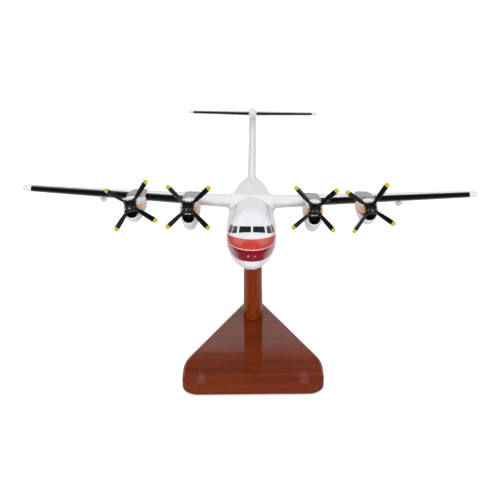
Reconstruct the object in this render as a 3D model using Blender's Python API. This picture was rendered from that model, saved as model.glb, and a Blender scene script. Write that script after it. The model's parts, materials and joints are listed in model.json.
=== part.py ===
"""Carved wooden desk model of a four-engine, high-wing, T-tail propeller airliner on a mahogany stand.

Sizes are in millimetres and are scaled to metres as meshes and places are made. +Z is up, the nose
points to -Y and the port wing to +X. The origin is the centre of the stand's underside. Every piece
of the aeroplane is drawn in the aeroplane's own frame (nose tip at y = 0, y running aft, z up from
the fuselage's axis) and hangs on one empty that lifts the nose.
"""

from math import cos, pi, radians, sin, sqrt

import bmesh
import bpy

for old in list(bpy.data.objects):
    bpy.data.objects.remove(old)

MM = 0.001
GAP = 0.3  # clearance between touching pieces
RUNNING_GAP = 0.25  # clearance round the propeller pins
SIDES = (("starboard", -1), ("port", 1))
LENGTH = 457.0
DOWEL_CHAMFER = 0.4

# How the aeroplane sits on the stand
NOSE_UP = 15.0  # degrees between the fuselage's axis and the desk
ROLL = 1.0  # degrees, port wing low
NOSE_PLACE = (-1.2, -121.7, 189.9)  # a little off the stand's centre line


# ---------------------------------------------------------------- materials
def material(name, color, roughness, metallic=0.0):
    made = bpy.data.materials.new(name)
    made.use_nodes = True
    inputs = made.node_tree.nodes["Principled BSDF"].inputs
    inputs["Base Color"].default_value = (*color, 1.0)
    inputs["Roughness"].default_value = roughness
    inputs["Metallic"].default_value = metallic
    return made


WHITE = material("white_lacquer", color=(0.86, 0.86, 0.88), roughness=0.15)
BLACK = material("black_lacquer", color=(0.012, 0.012, 0.014), roughness=0.12)
SILVER = material("silver_paint", color=(0.55, 0.56, 0.56), roughness=0.35, metallic=0.8)
MAHOGANY = material("mahogany", color=(0.19, 0.045, 0.018), roughness=0.15)
DOWEL = material("dowel_wood", color=(0.52, 0.36, 0.2), roughness=0.6)
STEEL = material("steel", color=(0.5, 0.5, 0.52), roughness=0.3, metallic=1.0)
BRASS = material("brass", color=(0.75, 0.55, 0.2), roughness=0.3, metallic=1.0)
FELT = material("green_felt", color=(0.02, 0.12, 0.05), roughness=0.95)
RED_LENS = material("red_lens", color=(0.45, 0.01, 0.02), roughness=0.1)
GREEN_LENS = material("green_lens", color=(0.1, 0.3, 0.2), roughness=0.1)


# ---------------------------------------------------------------- placing objects
def add_empty(name, at, parent=None):
    empty = bpy.data.objects.new(name, None)
    empty.parent = parent
    empty.location = [c * MM for c in at]
    bpy.context.scene.collection.objects.link(empty)
    return empty


def add_piece(name, mesh, finish, parent=None, at=(0, 0, 0)):
    mesh.name = name
    piece = bpy.data.objects.new(name, mesh)
    bpy.context.scene.collection.objects.link(piece)
    piece.parent = parent
    piece.location = [c * MM for c in at]
    if finish is not None:
        mesh.materials.append(finish)
    mesh.shade_smooth()
    mesh.set_sharp_from_angle(angle=radians(35))
    return piece


def add_cutter(name, mesh, parent=None, at=(0, 0, 0)):
    cutter = add_piece(name, mesh, None, parent, at)
    cutter.hide_render = True
    cutter.display_type = "WIRE"
    return cutter


def cut(target, cutter):
    modifier = target.modifiers.new("cut_" + cutter.name, "BOOLEAN")
    modifier.operation = "DIFFERENCE"
    modifier.solver = "EXACT"
    modifier.object = cutter


# ---------------------------------------------------------------- shapes
def loft(rings):
    """A closed mesh through rings of equal length; a ring of one point closes that end to a tip."""
    bm = bmesh.new()
    made = [[bm.verts.new([c * MM for c in point]) for point in ring] for ring in rings]
    for near, far in zip(made, made[1:]):
        count = max(len(near), len(far))
        for i in range(count):
            j = (i + 1) % count
            if len(near) == 1:
                bm.faces.new((near[0], far[j], far[i]))
            elif len(far) == 1:
                bm.faces.new((near[i], near[j], far[0]))
            else:
                bm.faces.new((near[i], near[j], far[j], far[i]))
    if len(made[0]) > 1:
        bm.faces.new(list(reversed(made[0])))
    if len(made[-1]) > 1:
        bm.faces.new(made[-1])
    bmesh.ops.recalc_face_normals(bm, faces=bm.faces)
    mesh = bpy.data.meshes.new("loft")
    bm.to_mesh(mesh)
    bm.free()
    return mesh


def turned(profile, axis, segments):
    """A solid of revolution through (radius, height) points; an end is flat unless its radius is 0."""
    rings = []
    for radius, height in profile:
        ring = []
        for i in range(1 if radius == 0 else segments):
            angle = 2 * pi * i / segments
            u, v = radius * cos(angle), radius * sin(angle)
            ring.append({"z": (u, v, height), "y": (u, height, v), "x": (height, u, v)}[axis])
        rings.append(ring)
    return loft(rings)


def cylinder(radius, low, high, axis, segments):
    return turned([(radius, low), (radius, high)], axis, segments)


def add_dowel(name, bore_name, radius, low, high, axis, segments, targets, parent=None,
              at=(0, 0, 0)):
    """A chamfered dowel, and its bore cut from each target."""
    inner = radius - DOWEL_CHAMFER
    profile = [
        (inner, low),
        (radius, low + DOWEL_CHAMFER),
        (radius, high - DOWEL_CHAMFER),
        (inner, high),
    ]
    add_piece(name, turned(profile, axis, segments), DOWEL, parent, at)
    hole = cylinder(radius + GAP, low - GAP, high + GAP, axis, segments)
    bore = add_cutter(bore_name, hole, parent, at)
    for target in targets:
        cut(target, bore)


def curve_through(points, x):
    """Smooth, non-overshooting interpolation through (x, value) points (monotone cubic)."""
    xs = [point[0] for point in points]
    values = [point[1] for point in points]
    if x <= xs[0]:
        return values[0]
    if x >= xs[-1]:
        return values[-1]
    spans = len(xs) - 1
    slopes = [(values[i + 1] - values[i]) / (xs[i + 1] - xs[i]) for i in range(spans)]
    tangents = [slopes[0]]
    for before, after in zip(slopes, slopes[1:]):
        turns = before * after <= 0
        tangents.append(0.0 if turns else 2 * before * after / (before + after))
    tangents.append(slopes[-1])
    i = max(k for k in range(spans) if xs[k] <= x)
    width = xs[i + 1] - xs[i]
    t = (x - xs[i]) / width
    return (
        (2 * t**3 - 3 * t**2 + 1) * values[i]
        + (t**3 - 2 * t**2 + t) * width * tangents[i]
        + (-2 * t**3 + 3 * t**2) * values[i + 1]
        + (t**3 - t**2) * width * tangents[i + 1]
    )


def oval(y, half_width, top, bottom, widest, count, top_power=2.0, bottom_power=2.0, centre_x=0.0):
    """A ring across the y axis: superellipse quarters that meet at the widest level."""
    ring = []
    for i in range(count):
        angle = 2 * pi * i / count
        across, up = cos(angle), sin(angle)
        power = top_power if up >= 0 else bottom_power
        reach = (top - widest) if up >= 0 else (widest - bottom)
        x = half_width * (abs(across) ** (2 / power)) * (1 if across >= 0 else -1)
        z = widest + reach * (abs(up) ** (2 / power)) * (1 if up >= 0 else -1)
        ring.append((centre_x + x, y, z))
    return ring


def aerofoil(chord, thick, steps, camber=0.0, offset=0.0):
    """A closed loop of (aft, up) from the leading edge, pushed outward by the offset."""
    fractions = [0.5 * (1 - cos(pi * i / steps)) for i in range(steps + 1)]
    edge = max(0.45, 0.04 * thick)  # half the trailing edge's added thickness

    def surface(s, sign):
        half = 5 * thick * (
            0.2969 * sqrt(s) - 0.1260 * s - 0.3516 * s**2 + 0.2843 * s**3 - 0.1015 * s**4
        )
        return s * chord, sign * (half + edge * s) + 4 * camber * chord * s * (1 - s)

    # trailing edge, over the top to the leading edge, back along the underside
    loop = [surface(s, 1) for s in fractions[::-1]] + [surface(s, -1) for s in fractions[1:]]
    pushed = []
    for i, (aft, up) in enumerate(loop):
        before, after = loop[i - 1], loop[(i + 1) % len(loop)]
        run, rise = after[0] - before[0], after[1] - before[1]
        length = sqrt(run * run + rise * rise)
        pushed.append((aft + rise / length * offset, up - run / length * offset))
    return pushed


# ---------------------------------------------------------------- stand
FELT_T = 1.5
FELT_INSET = 2.5
BASE_T = 12.7
BASE_HALF_W = 76.6
BASE_FRONT = -92.3
BASE_APEX = 107.3  # where the straight sides would meet
BASE_SIDE_ANGLE = 26.5  # degrees from +Y
BASE_R_APEX = 13.0
BASE_R_BEND = 52.0
BASE_R_CORNER = 17.0
BASE_R_EDGE = 2.2  # rounding of the upper edge
BASE_CHAMFER = 0.8  # along the lower edge
BASE_BOTTOM = FELT_T + GAP
BASE_TOP = BASE_BOTTOM + BASE_T

POST_Y = 51.3
POST_R_FOOT = 11.2
POST_R_TOP = 10.3
POST_CHAMFER = 0.8
POST_BOTTOM = BASE_TOP + GAP
POST_UNCUT_TOP = 135  # above the fuselage's underside, before the saddle is cut
POST_PLACE = (0, POST_Y, 0)
PEG_R = 4.0
PEG_SPAN = (92.0, 131.0)

SCREW_R = 2.0
SCREW_HOLE_R = SCREW_R + GAP
SCREW_PROFILE = [
    (4.1, 2.3), (4.1, 3.1), (SCREW_R, 6.6), (SCREW_R, 38), (SCREW_R * 0.4, 43), (0, 43.4),
]
SCREW_HOLE_PROFILE = [(4.6, -1), (4.6, 5.0), (SCREW_HOLE_R, 7.6), (SCREW_HOLE_R, 30)]


def base_outline(inset):
    """The rounded triangle: an arc at the rear apex, straight sides, a long bend and a corner."""
    slant = radians(BASE_SIDE_ANGLE)
    r_apex, r_bend, r_corner = (r - inset for r in (BASE_R_APEX, BASE_R_BEND, BASE_R_CORNER))
    apex_y = BASE_APEX - BASE_R_APEX / sin(slant)
    # the bend's centre puts the widest point at BASE_HALF_W and keeps the straight side tangent
    bend_x = BASE_HALF_W - BASE_R_BEND
    bend_y = BASE_APEX - (BASE_R_BEND + bend_x * cos(slant)) / sin(slant)
    corner_x = BASE_HALF_W - BASE_R_CORNER
    corner_y = BASE_FRONT + BASE_R_CORNER

    # the +X half, from the apex to the front edge
    half = []
    for i in range(1, 6):
        angle = pi / 2 - (pi / 2 - slant) * i / 5
        half.append((r_apex * cos(angle), apex_y + r_apex * sin(angle)))
    for i in range(5):
        angle = slant * (1 - i / 4)
        half.append((bend_x + r_bend * cos(angle), bend_y + r_bend * sin(angle)))
    for i in range(7):
        angle = -(pi / 2) * i / 6
        half.append((corner_x + r_corner * cos(angle), corner_y + r_corner * sin(angle)))
    return [(0.0, apex_y + r_apex)] + half + [(-x, y) for x, y in reversed(half)]


def base_slab(levels):
    """A solid through the base's outline at each (inset, z) level."""
    return loft([[(x, y, z) for x, y in base_outline(inset)] for inset, z in levels])


def build_base():
    levels = [(BASE_CHAMFER, BASE_BOTTOM), (0.0, BASE_BOTTOM + BASE_CHAMFER)]
    for i in range(4):
        angle = (pi / 2) * i / 3
        inset = BASE_R_EDGE * (1 - cos(angle))
        levels.append((inset, BASE_TOP - BASE_R_EDGE + BASE_R_EDGE * sin(angle)))
    base = add_piece("stand_base", base_slab(levels), MAHOGANY)
    hole = turned(SCREW_HOLE_PROFILE, "z", 20)
    cut(base, add_cutter("cut_base_screw", hole, at=POST_PLACE))
    add_piece("felt_pad", base_slab([(FELT_INSET, 0.0), (FELT_INSET, FELT_T)]), FELT)


def build_post(fuselage, aircraft):
    """Round post: drilled for the screw, scooped to the belly and pegged to the fuselage."""
    profile = [
        (POST_R_FOOT - POST_CHAMFER, POST_BOTTOM),
        (POST_R_FOOT, POST_BOTTOM + POST_CHAMFER),
        (POST_R_FOOT - 0.5, 34),
        (POST_R_TOP + 0.2, 60),
        (POST_R_TOP, POST_UNCUT_TOP),
    ]
    post = add_piece("stand_post", turned(profile, "z", 28), MAHOGANY, at=POST_PLACE)
    add_piece("base_screw", turned(SCREW_PROFILE, "z", 16), STEEL, at=POST_PLACE)
    pilot = cylinder(SCREW_HOLE_R, 5, 45, "z", 16)
    cut(post, add_cutter("cut_post_pilot", pilot, at=POST_PLACE))
    saddle = loft([fuselage_ring(y, GAP) for y in (110, 150, 200, 240)])
    cut(post, add_cutter("cut_post_saddle", saddle, aircraft))
    add_dowel("post_peg", "cut_peg", PEG_R, *PEG_SPAN, "z", 16, (post, fuselage), at=POST_PLACE)


# ---------------------------------------------------------------- fuselage
# (y, z) along the crown
HULL_TOP = [
    (0, -6), (1.2, -2.6), (3.5, -0.2), (8, 2.3), (18.6, 6.2), (31.4, 10.3), (42.2, 16.2),
    (52, 20.6), (62, 23.4), (76, 25.2), (92, 25.7), (300, 25.7), (330, 25.4), (360, 24.4),
    (390, 22.6), (415, 20.6), (433, 18.6), (446, 16.8),
]
# (y, z) along the belly
HULL_BOTTOM = [
    (0, -6), (1.2, -11.5), (3.5, -15.6), (8, -19.4), (18.6, -23.8), (29.7, -26.1), (41, -27.3),
    (56, -27.7), (76, -27.5), (265, -27.5), (290, -25.4), (320, -18.2), (350, -8.6), (380, 0.0),
    (408, 6.2), (430, 10.4), (446, 13.4),
]
# (y, half width)
HULL_HALF_W = [
    (0, 0), (1.2, 6.2), (3.5, 9.8), (8, 13.2), (18.6, 17.8), (31.4, 21.6), (42.2, 23.8),
    (55.8, 25.0), (72, 25.6), (110, 26.3), (262, 26.3), (298, 25.3), (325, 22.9), (353, 19.2),
    (381, 14.4), (408, 9.2), (430, 5.0), (446, 1.9),
]
# (y, z) of the widest level
HULL_WIDEST = [
    (0, -6), (3.5, -5.6), (18.6, -3.4), (42, -1.0), (70, 0), (268, 0), (298, 1.4), (325, 4.4),
    (353, 8.4), (381, 11.6), (408, 13.9), (446, 15.2),
]
# y of the fuselage's rings
HULL_STATIONS = [
    1.2, 3.5, 8, 18.6, 31.4, 37, 42.2, 50, 60, 75, 110, 150, 200, 240, 268, 283, 298, 312, 325,
    339, 353, 367, 381, 395, 408, 420, 432, 446,
]
HULL_NOSE = (0, 0, -6)
HULL_TAIL = (0, 448, 15.2)


def fuselage_ring(y, grow=0.0):
    return oval(
        y,
        half_width=curve_through(HULL_HALF_W, y) + grow,
        top=curve_through(HULL_TOP, y) + grow,
        bottom=curve_through(HULL_BOTTOM, y) - grow,
        widest=curve_through(HULL_WIDEST, y),
        count=24,
    )


def build_fuselage(aircraft):
    rings = [[HULL_NOSE]] + [fuselage_ring(y) for y in HULL_STATIONS] + [[HULL_TAIL]]
    return add_piece("fuselage", loft(rings), WHITE, aircraft)


# ---------------------------------------------------------------- wing
SEMI_SPAN = 263.6
WING_ROOT_X = 31.0
WING_CHORD_ROOT = 70.5
WING_CHORD_TIP = 31.5
WING_LE_ROOT = 165.8  # y of the leading edge
WING_LE_TIP = 195.6
WING_Z_ROOT = 18.9
WING_RISE = 0.0407  # dihedral slope
WING_INCIDENCE = 0.026  # the section falls this much per unit of chord
WING_T_ROOT = 12.8
WING_T_TIP = 7.0
WING_CAMBER = 0.004
SCALE_CENTRE = 0.55  # a shortened chord loses this share of the loss at its leading edge
FAIRING_X = 172.0

WING_STATIONS = [WING_ROOT_X + GAP / 2, 48, 67.5, 98, 128.8, FAIRING_X, 215]
# distance in from the tip, chord scale, thickness scale
WING_TIP = [(6.0, 0.985, 0.97), (2.2, 0.93, 0.84), (0.6, 0.83, 0.62), (0.0, 0.72, 0.42)]
# x, swell of the centre section between its plain ends
CENTRE_SWELL = [(-24, 0.55), (-14, 1), (0, 1.1), (14, 1), (24, 0.55)]

WING_DOWEL_R = 2.5
WING_DOWEL_SPAN = (16.0, 54.0)  # distances from the centre line
WING_DOWEL_PLACE = (0, WING_LE_ROOT + 24, WING_Z_ROOT)

# y, half width, depth of the underside below the wing's reference height
FAIRING_SECTIONS = [
    (186.5, 1.7, 6.4), (192, 2.9, 9.0), (200, 3.6, 11.6), (209, 3.7, 12.8), (218, 3.1, 12.0),
    (226, 2.0, 9.6), (231, 1.0, 7.4),
]

LAMP_BULGE = 1.5  # outward from the tip
LAMP_HALF_LENGTH = 4.6
LAMP_HALF_HEIGHT = 1.15
LAMP_Y = WING_LE_TIP + 12.5
LAMP_DROP = 0.3
LAMP_ANGLES = (0, 0.45, 0.9, 1.25)  # radians from the lamp's rim toward its crown


def wing_height(x):
    return WING_Z_ROOT + WING_RISE * (x - WING_ROOT_X)


def wing_ring(x, offset=0.0, chord_scale=1.0, thick_scale=1.0):
    outward = (x - WING_ROOT_X) / (SEMI_SPAN - WING_ROOT_X)
    leading = WING_LE_ROOT + (WING_LE_TIP - WING_LE_ROOT) * outward
    chord = WING_CHORD_ROOT + (WING_CHORD_TIP - WING_CHORD_ROOT) * outward
    thick = WING_T_ROOT + (WING_T_TIP - WING_T_ROOT) * outward
    start = leading + chord * (1 - chord_scale) * SCALE_CENTRE
    section = aerofoil(chord * chord_scale, thick * thick_scale, 8, WING_CAMBER, offset)
    return [(x, start + s, wing_height(x) + h - WING_INCIDENCE * s) for s, h in section]


def wing_panel(side, offset=0.0):
    stations = [(x, 1.0, 1.0) for x in WING_STATIONS]
    stations += [(SEMI_SPAN - inset, chord, thick) for inset, chord, thick in WING_TIP]
    return loft([
        [(side * px, py, pz) for px, py, pz in wing_ring(x, offset, chord, thick)]
        for x, chord, thick in stations
    ])


def centre_section(half_span, offset=0.0):
    """The root section carried across the fuselage, swelling forward and up in the middle."""
    rings = []
    for x, swell in [(-half_span, 0)] + CENTRE_SWELL + [(half_span, 0)]:
        root = wing_ring(WING_ROOT_X, 0.25 * swell + offset, thick_scale=1.0 + 0.09 * swell)
        rings.append([(x, y - 1.5 * swell, z + 0.4 * swell) for _, y, z in root])
    return loft(rings)


def build_flap_fairing(word, side, wing_cutter, aircraft):
    """Flap track fairing under the outer wing."""
    x = side * FAIRING_X
    wing_z = wing_height(FAIRING_X)
    rings = [[(x, 184.0, wing_z - 4.2)]]
    for y, half_width, depth in FAIRING_SECTIONS:
        rings.append(oval(
            y, half_width, top=wing_z - 1.0, bottom=wing_z - depth, widest=wing_z - 5.0,
            count=12, centre_x=x,
        ))
    rings.append([(x, 233.0, wing_z - 5.6)])
    cut(add_piece("flap_fairing_" + word, loft(rings), WHITE, aircraft), wing_cutter)


def build_nav_light(word, side, aircraft):
    rim_x = SEMI_SPAN + GAP
    z = wing_height(SEMI_SPAN) - LAMP_DROP
    rings = []
    for lift in LAMP_ANGLES:
        x = side * (rim_x + LAMP_BULGE * sin(lift))
        half_length = LAMP_HALF_LENGTH * cos(lift)
        half_height = LAMP_HALF_HEIGHT * cos(lift)
        around = [2 * pi * i / 12 for i in range(12)]
        rings.append([
            (x, LAMP_Y + half_length * cos(angle), z + half_height * sin(angle))
            for angle in around
        ])
    rings.append([(side * (rim_x + LAMP_BULGE), LAMP_Y, z)])
    lens = RED_LENS if side > 0 else GREEN_LENS
    add_piece("nav_light_" + word, loft(rings), lens, aircraft)


def build_wing(fuselage, aircraft):
    """The whole wing; returns the clearance cutter of each panel by its side's name."""
    middle = centre_section(WING_ROOT_X - GAP / 2)
    centre = add_piece("wing_centre_section", middle, WHITE, aircraft)
    pocket = centre_section(WING_ROOT_X + 2, GAP)
    cut(fuselage, add_cutter("cut_wing_pocket", pocket, aircraft))
    wing_cutters = {}
    for word, side in SIDES:
        wing = add_piece("wing_" + word, wing_panel(side), WHITE, aircraft)
        low, high = sorted(side * x for x in WING_DOWEL_SPAN)
        add_dowel(
            "wing_dowel_" + word, "cut_wing_dowel_" + word, WING_DOWEL_R, low, high, "x", 12,
            (wing, centre), aircraft, WING_DOWEL_PLACE,
        )
        cutter = add_cutter("cut_wing_" + word, wing_panel(side, GAP), aircraft)
        wing_cutters[word] = cutter
        build_flap_fairing(word, side, cutter, aircraft)
        build_nav_light(word, side, aircraft)
    return wing_cutters


# ---------------------------------------------------------------- engines
# Engine pieces are drawn from the centre of the propeller's disc.
# Nacelle sections from the cowl's front face aft: y, half width, top, underside, widest level
DEEP = [
    (4.2, 7.4, 6.8, -18.0, -4), (5.6, 8.3, 7.5, -19.6, -4), (12, 9.4, 7.9, -23.2, -4.5),
    (20, 10.0, 7.8, -26.8, -5), (32, 10.2, 7.4, -30.2, -6), (46, 10.1, 6.2, -32.2, -6.5),
    (66, 9.7, 1.8, -32.2, -8), (86, 8.8, -0.5, -29.6, -10), (104, 7.2, -3, -24.4, -10.5),
    (118, 5.2, -5.4, -18.4, -10), (128, 2.8, -8, -13.2, -10),
]
SHALLOW = [
    (4.2, 7.4, 7.2, -14.8, -3), (5.6, 8.3, 7.9, -16.2, -3), (12, 9.4, 8.2, -18.8, -3.5),
    (20, 10.0, 8.1, -21.2, -4), (32, 10.2, 7.8, -23.4, -4.5), (46, 10.0, 6.8, -24.2, -5),
    (64, 9.4, 2.8, -23.0, -5.5), (80, 8.2, 0.5, -19.8, -6), (94, 6.2, -2, -15.2, -6),
    (104, 4.0, -3.6, -11, -5.8), (110, 2.2, -4.8, -8.0, -5.7),
]
# Exhaust duct sections: y, half width, top
DUCT = [
    (19.5, 7.2, 7.7), (23, 8.0, 8.0), (32, 8.5, 8.1), (46, 8.6, 7.7), (58, 8.6, 7.1),
    (70, 8.5, 6.5), (84, 8.3, 5.9),
]
DUCT_RISE = 0.9  # the outboard ducts' tops stand this much higher above their propellers
DUCT_FLOOR = 3.2
DUCT_WIDEST = DUCT_FLOOR + 1.2

# name, wing panel, centre of the propeller's disc, angle of the first blade in degrees,
# nacelle sections, rise of the duct's top
ENGINES = [
    ("starboard_outboard", "starboard", (-128.8, 116.4, 22.5), 58.3, SHALLOW, DUCT_RISE),
    ("starboard_inboard", "starboard", (-67.5, 110.2, 22.3), 44.2, DEEP, 0.0),
    ("port_inboard", "port", (67.5, 110.2, 22.3), 41.9, DEEP, 0.0),
    ("port_outboard", "port", (127.8, 116.4, 23.3), 56.8, SHALLOW, DUCT_RISE),
]

# Turned parts on the propeller's axis: radius, y
PIN_R = 1.0
PIN_HOLE_R = PIN_R + GAP
PIN_BORE_R = PIN_R + RUNNING_GAP
PIN_PROFILE = [
    (0, -7.3), (1.2, -7.05), (2.0, -6.3), (2.0, -5.7), (PIN_R, -5.7), (PIN_R, 15), (0, 16),
]
BUSH_PROFILE = [(3.2, 2.9), (3.2, 3.9), (1.9, 3.9), (1.9, 9.3)]
BUSH_HOLE_PROFILE = [(2.2, 0), (2.2, 9.6), (PIN_HOLE_R, 9.6), (PIN_HOLE_R, 16.3)]
HUB_R = 6.1
HUB_PROFILE = [
    (5.6, 2.6), (HUB_R, 2.1), (HUB_R, -2.2), (5.6, -3.7), (4.4, -4.9), (2.7, -5.4),
]

PROP_R = 32.7
BLADE_FOOT = 4.4  # distance of the blade's inner end from the axis
BLADE_SHANK = 2.8  # diameter of the round shank
# distance from the axis, chord, thickness, pitch in degrees
BLADE_SECTIONS = [
    (BLADE_FOOT, BLADE_SHANK, BLADE_SHANK, 44), (6.6, BLADE_SHANK, BLADE_SHANK, 44),
    (8.2, 3.8, 2.2, 43), (12, 5.1, 1.7, 38), (20, 5.7, 1.4, 30), (28.5, 5.9, 1.2, 24),
    (30.8, 5.1, 1.0, 23), (32.1, 3.5, 0.8, 22), (PROP_R, 1.5, 0.6, 22),
]


def duct_ring(y, half_width, top, floor):
    return oval(y, half_width, top, floor, DUCT_WIDEST, 16, top_power=5.0, bottom_power=6.0)


def build_nacelle(name, centre, sections, duct_rise, wing_cutter, aircraft):
    """The nacelle and the silver exhaust duct let into its top."""
    body = loft([oval(*section, 16, top_power=3.0, bottom_power=2.2) for section in sections])
    nacelle = add_piece("nacelle_" + name, body, WHITE, aircraft, centre)

    shape = loft([duct_ring(y, half, top + duct_rise, DUCT_FLOOR) for y, half, top in DUCT])
    duct = add_piece("exhaust_duct_" + name, shape, SILVER, aircraft, centre)

    # the seat starts a gap ahead of the duct and runs out through the nacelle's top
    first_y, *first_size = DUCT[0]
    seat_sections = [(first_y - GAP, *first_size)] + DUCT[1:]
    seat = add_cutter(
        "cut_duct_" + name,
        loft([duct_ring(y, w + GAP, top + 3, DUCT_FLOOR - GAP) for y, w, top in seat_sections]),
        aircraft, centre,
    )
    cut(nacelle, wing_cutter)
    cut(nacelle, seat)
    cut(duct, wing_cutter)
    hole = turned(BUSH_HOLE_PROFILE, "y", 16)
    cut(nacelle, add_cutter("cut_bush_" + name, hole, aircraft, centre))


def build_pin_and_bush(name, centre, aircraft):
    bush = add_piece("prop_bush_" + name, turned(BUSH_PROFILE, "y", 16), BRASS, aircraft, centre)
    bore = cylinder(PIN_BORE_R, 0, 12, "y", 12)
    cut(bush, add_cutter("cut_bush_bore_" + name, bore, aircraft, centre))
    add_piece("prop_pin_" + name, turned(PIN_PROFILE, "y", 12), STEEL, aircraft, centre)


def blade_mesh():
    """A twisted blade along +Z."""
    rings = []
    for radius, chord, thick, pitch in BLADE_SECTIONS:
        twist = -radians(pitch)
        ring = []
        for i in range(8):
            angle = 2 * pi * i / 8
            u, v = 0.5 * chord * cos(angle), 0.5 * thick * sin(angle)
            x = u * cos(twist) - v * sin(twist)
            y = u * sin(twist) + v * cos(twist)
            ring.append((x, y, radius))
        rings.append(ring)
    return loft(rings)


def build_propeller(name, first_blade, axle):
    hub = add_piece("prop_hub_" + name, turned(HUB_PROFILE, "y", 20), BLACK, axle)
    cut(hub, add_cutter("cut_hub_" + name, cylinder(PIN_BORE_R, -8, 5, "y", 12), axle))
    for k in range(4):
        label = f"{name}_{k + 1}"
        turn = pi / 2 - (radians(first_blade) + k * pi / 2)
        blade = add_piece("blade_" + label, blade_mesh(), BLACK, axle)
        hole = cylinder(BLADE_SHANK / 2 + GAP, BLADE_FOOT - GAP, 12, "z", 8)
        socket = add_cutter("cut_socket_" + label, hole, axle)
        for part in (blade, socket):
            part.rotation_euler = (0, turn, 0)
        cut(hub, socket)


def build_engines(wing_cutters, aircraft):
    for name, panel, centre, first_blade, sections, duct_rise in ENGINES:
        axle = add_empty("prop_axis_" + name, centre, aircraft)
        build_nacelle(name, centre, sections, duct_rise, wing_cutters[panel], aircraft)
        build_pin_and_bush(name, centre, aircraft)
        build_propeller(name, first_blade, axle)


# ---------------------------------------------------------------- tail
FIN_FOOT = 9.0  # inside the fuselage
FIN_HEAD = 103.0  # inside the bullet
FIN_TAPER_Z = (25.0, 102.0)  # levels between which the taper is measured
FILLET_REACH = 14  # how far the dorsal fillet sweeps the root forward
FILLET_HEIGHT = 0.28  # as a share of the taper's height
FIN_DOWEL_R = 2.0

TAIL_Z = 107.4
TAIL_SEMI_SPAN = 87.6
TAIL_ROOT_X = 3.2
TAIL_DOWEL_R = 1.4
TAIL_DOWEL_REACH = 13
# x, chord scale, thickness scale, outboard of the root
TAIL_STATIONS = [
    (20, 1, 1), (50, 1, 1), (TAIL_SEMI_SPAN - 4.5, 1, 1), (TAIL_SEMI_SPAN - 1.4, 0.92, 0.8),
    (TAIL_SEMI_SPAN, 0.74, 0.4),
]
# y, half width, half height below and above the tailplane, superellipse power of the crest
BULLET_SECTIONS = [
    (367.5, 1.6, 1.7, 1.8, 2.0), (371, 3.0, 3.1, 3.4, 2.0), (377, 4.4, 4.5, 5.2, 1.8),
    (385, 5.3, 5.4, 7.8, 1.45), (391, 5.6, 5.8, 8.8, 1.35), (400, 5.7, 6.0, 7.6, 1.5),
    (412, 5.6, 5.9, 6.4, 1.8), (428, 4.7, 4.9, 5.0, 2.0), (442, 3.2, 3.4, 3.4, 2.0),
    (452, 1.7, 1.8, 1.8, 2.0),
]


def fin_mesh(offset=0.0):
    low, high = FIN_TAPER_Z
    rings = []
    for z in (FIN_FOOT - offset, 26, 45, 70, 90, FIN_HEAD + offset):
        f = (z - low) / (high - low)
        fillet = FILLET_REACH * max(0.0, 1 - max(f, 0.0) / FILLET_HEIGHT) ** 2
        leading = 338 + 50 * f - fillet
        trailing = 440 + 6.5 * f
        section = aerofoil(trailing - leading, 11.0 - 2.0 * f, 7, offset=offset)
        rings.append([(h, leading + s, z) for s, h in section])
    return loft(rings)


def tail_panel(side, offset=0.0):
    rings = []
    for x, chord_scale, thick_scale in [(TAIL_ROOT_X - offset, 1, 1)] + TAIL_STATIONS:
        f = x / TAIL_SEMI_SPAN
        leading = 386.7 + 16.5 * f
        chord = 436.0 - 2.0 * f - leading
        thick = (5.8 - 1.9 * f) * thick_scale
        start = leading + chord * (1 - chord_scale) * SCALE_CENTRE
        section = aerofoil(chord * chord_scale, thick, 7, offset=offset)
        rings.append([(side * x, start + s, TAIL_Z + h) for s, h in section])
    return loft(rings)


def build_fin(fuselage, aircraft):
    """The fin; returns it with the cutter that clears it."""
    fin = add_piece("fin", fin_mesh(), WHITE, aircraft)
    fin_cutter = add_cutter("cut_fin", fin_mesh(GAP), aircraft)
    cut(fuselage, fin_cutter)
    add_dowel(
        "fin_dowel", "cut_fin_dowel", FIN_DOWEL_R, 4.0, 34.0, "z", 12, (fin, fuselage),
        aircraft, (0, 378, 0),
    )
    return fin, fin_cutter


def build_bullet(aircraft):
    """The pointed fairing where the tailplane meets the fin."""
    rings = [[(0, 366, TAIL_Z)]]
    for y, half_width, below, above, crest in BULLET_SECTIONS:
        top, bottom = TAIL_Z + above, TAIL_Z - below
        rings.append(oval(y, half_width, top, bottom, TAIL_Z, 18, top_power=crest))
    rings.append([(0, LENGTH, TAIL_Z)])
    return add_piece("tail_bullet", loft(rings), WHITE, aircraft)


def build_tail(fuselage, aircraft):
    fin, fin_cutter = build_fin(fuselage, aircraft)
    bullet = build_bullet(aircraft)
    cut(bullet, fin_cutter)
    tailplanes = []
    for word, side in SIDES:
        tailplanes.append(add_piece("tailplane_" + word, tail_panel(side), WHITE, aircraft))
        cut(bullet, add_cutter("cut_tailplane_" + word, tail_panel(side, GAP), aircraft))
    add_dowel(
        "tailplane_dowel", "cut_tail_dowel", TAIL_DOWEL_R, -TAIL_DOWEL_REACH, TAIL_DOWEL_REACH,
        "x", 12, (*tailplanes, bullet), aircraft, (0, 403, TAIL_Z),
    )
    add_dowel(
        "fin_top_dowel", "cut_fin_top_dowel", TAIL_DOWEL_R, 88.0, 107.0, "z", 12,
        (fin, bullet), aircraft, (0, 416, 0),
    )


# ---------------------------------------------------------------- assembly
def build_model():
    aircraft = add_empty("aircraft_attitude", NOSE_PLACE)
    aircraft.rotation_mode = "YXZ"
    aircraft.rotation_euler = (-radians(NOSE_UP), radians(ROLL), 0)
    build_base()
    fuselage = build_fuselage(aircraft)
    build_post(fuselage, aircraft)
    wing_cutters = build_wing(fuselage, aircraft)
    build_engines(wing_cutters, aircraft)
    build_tail(fuselage, aircraft)


build_model()
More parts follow.
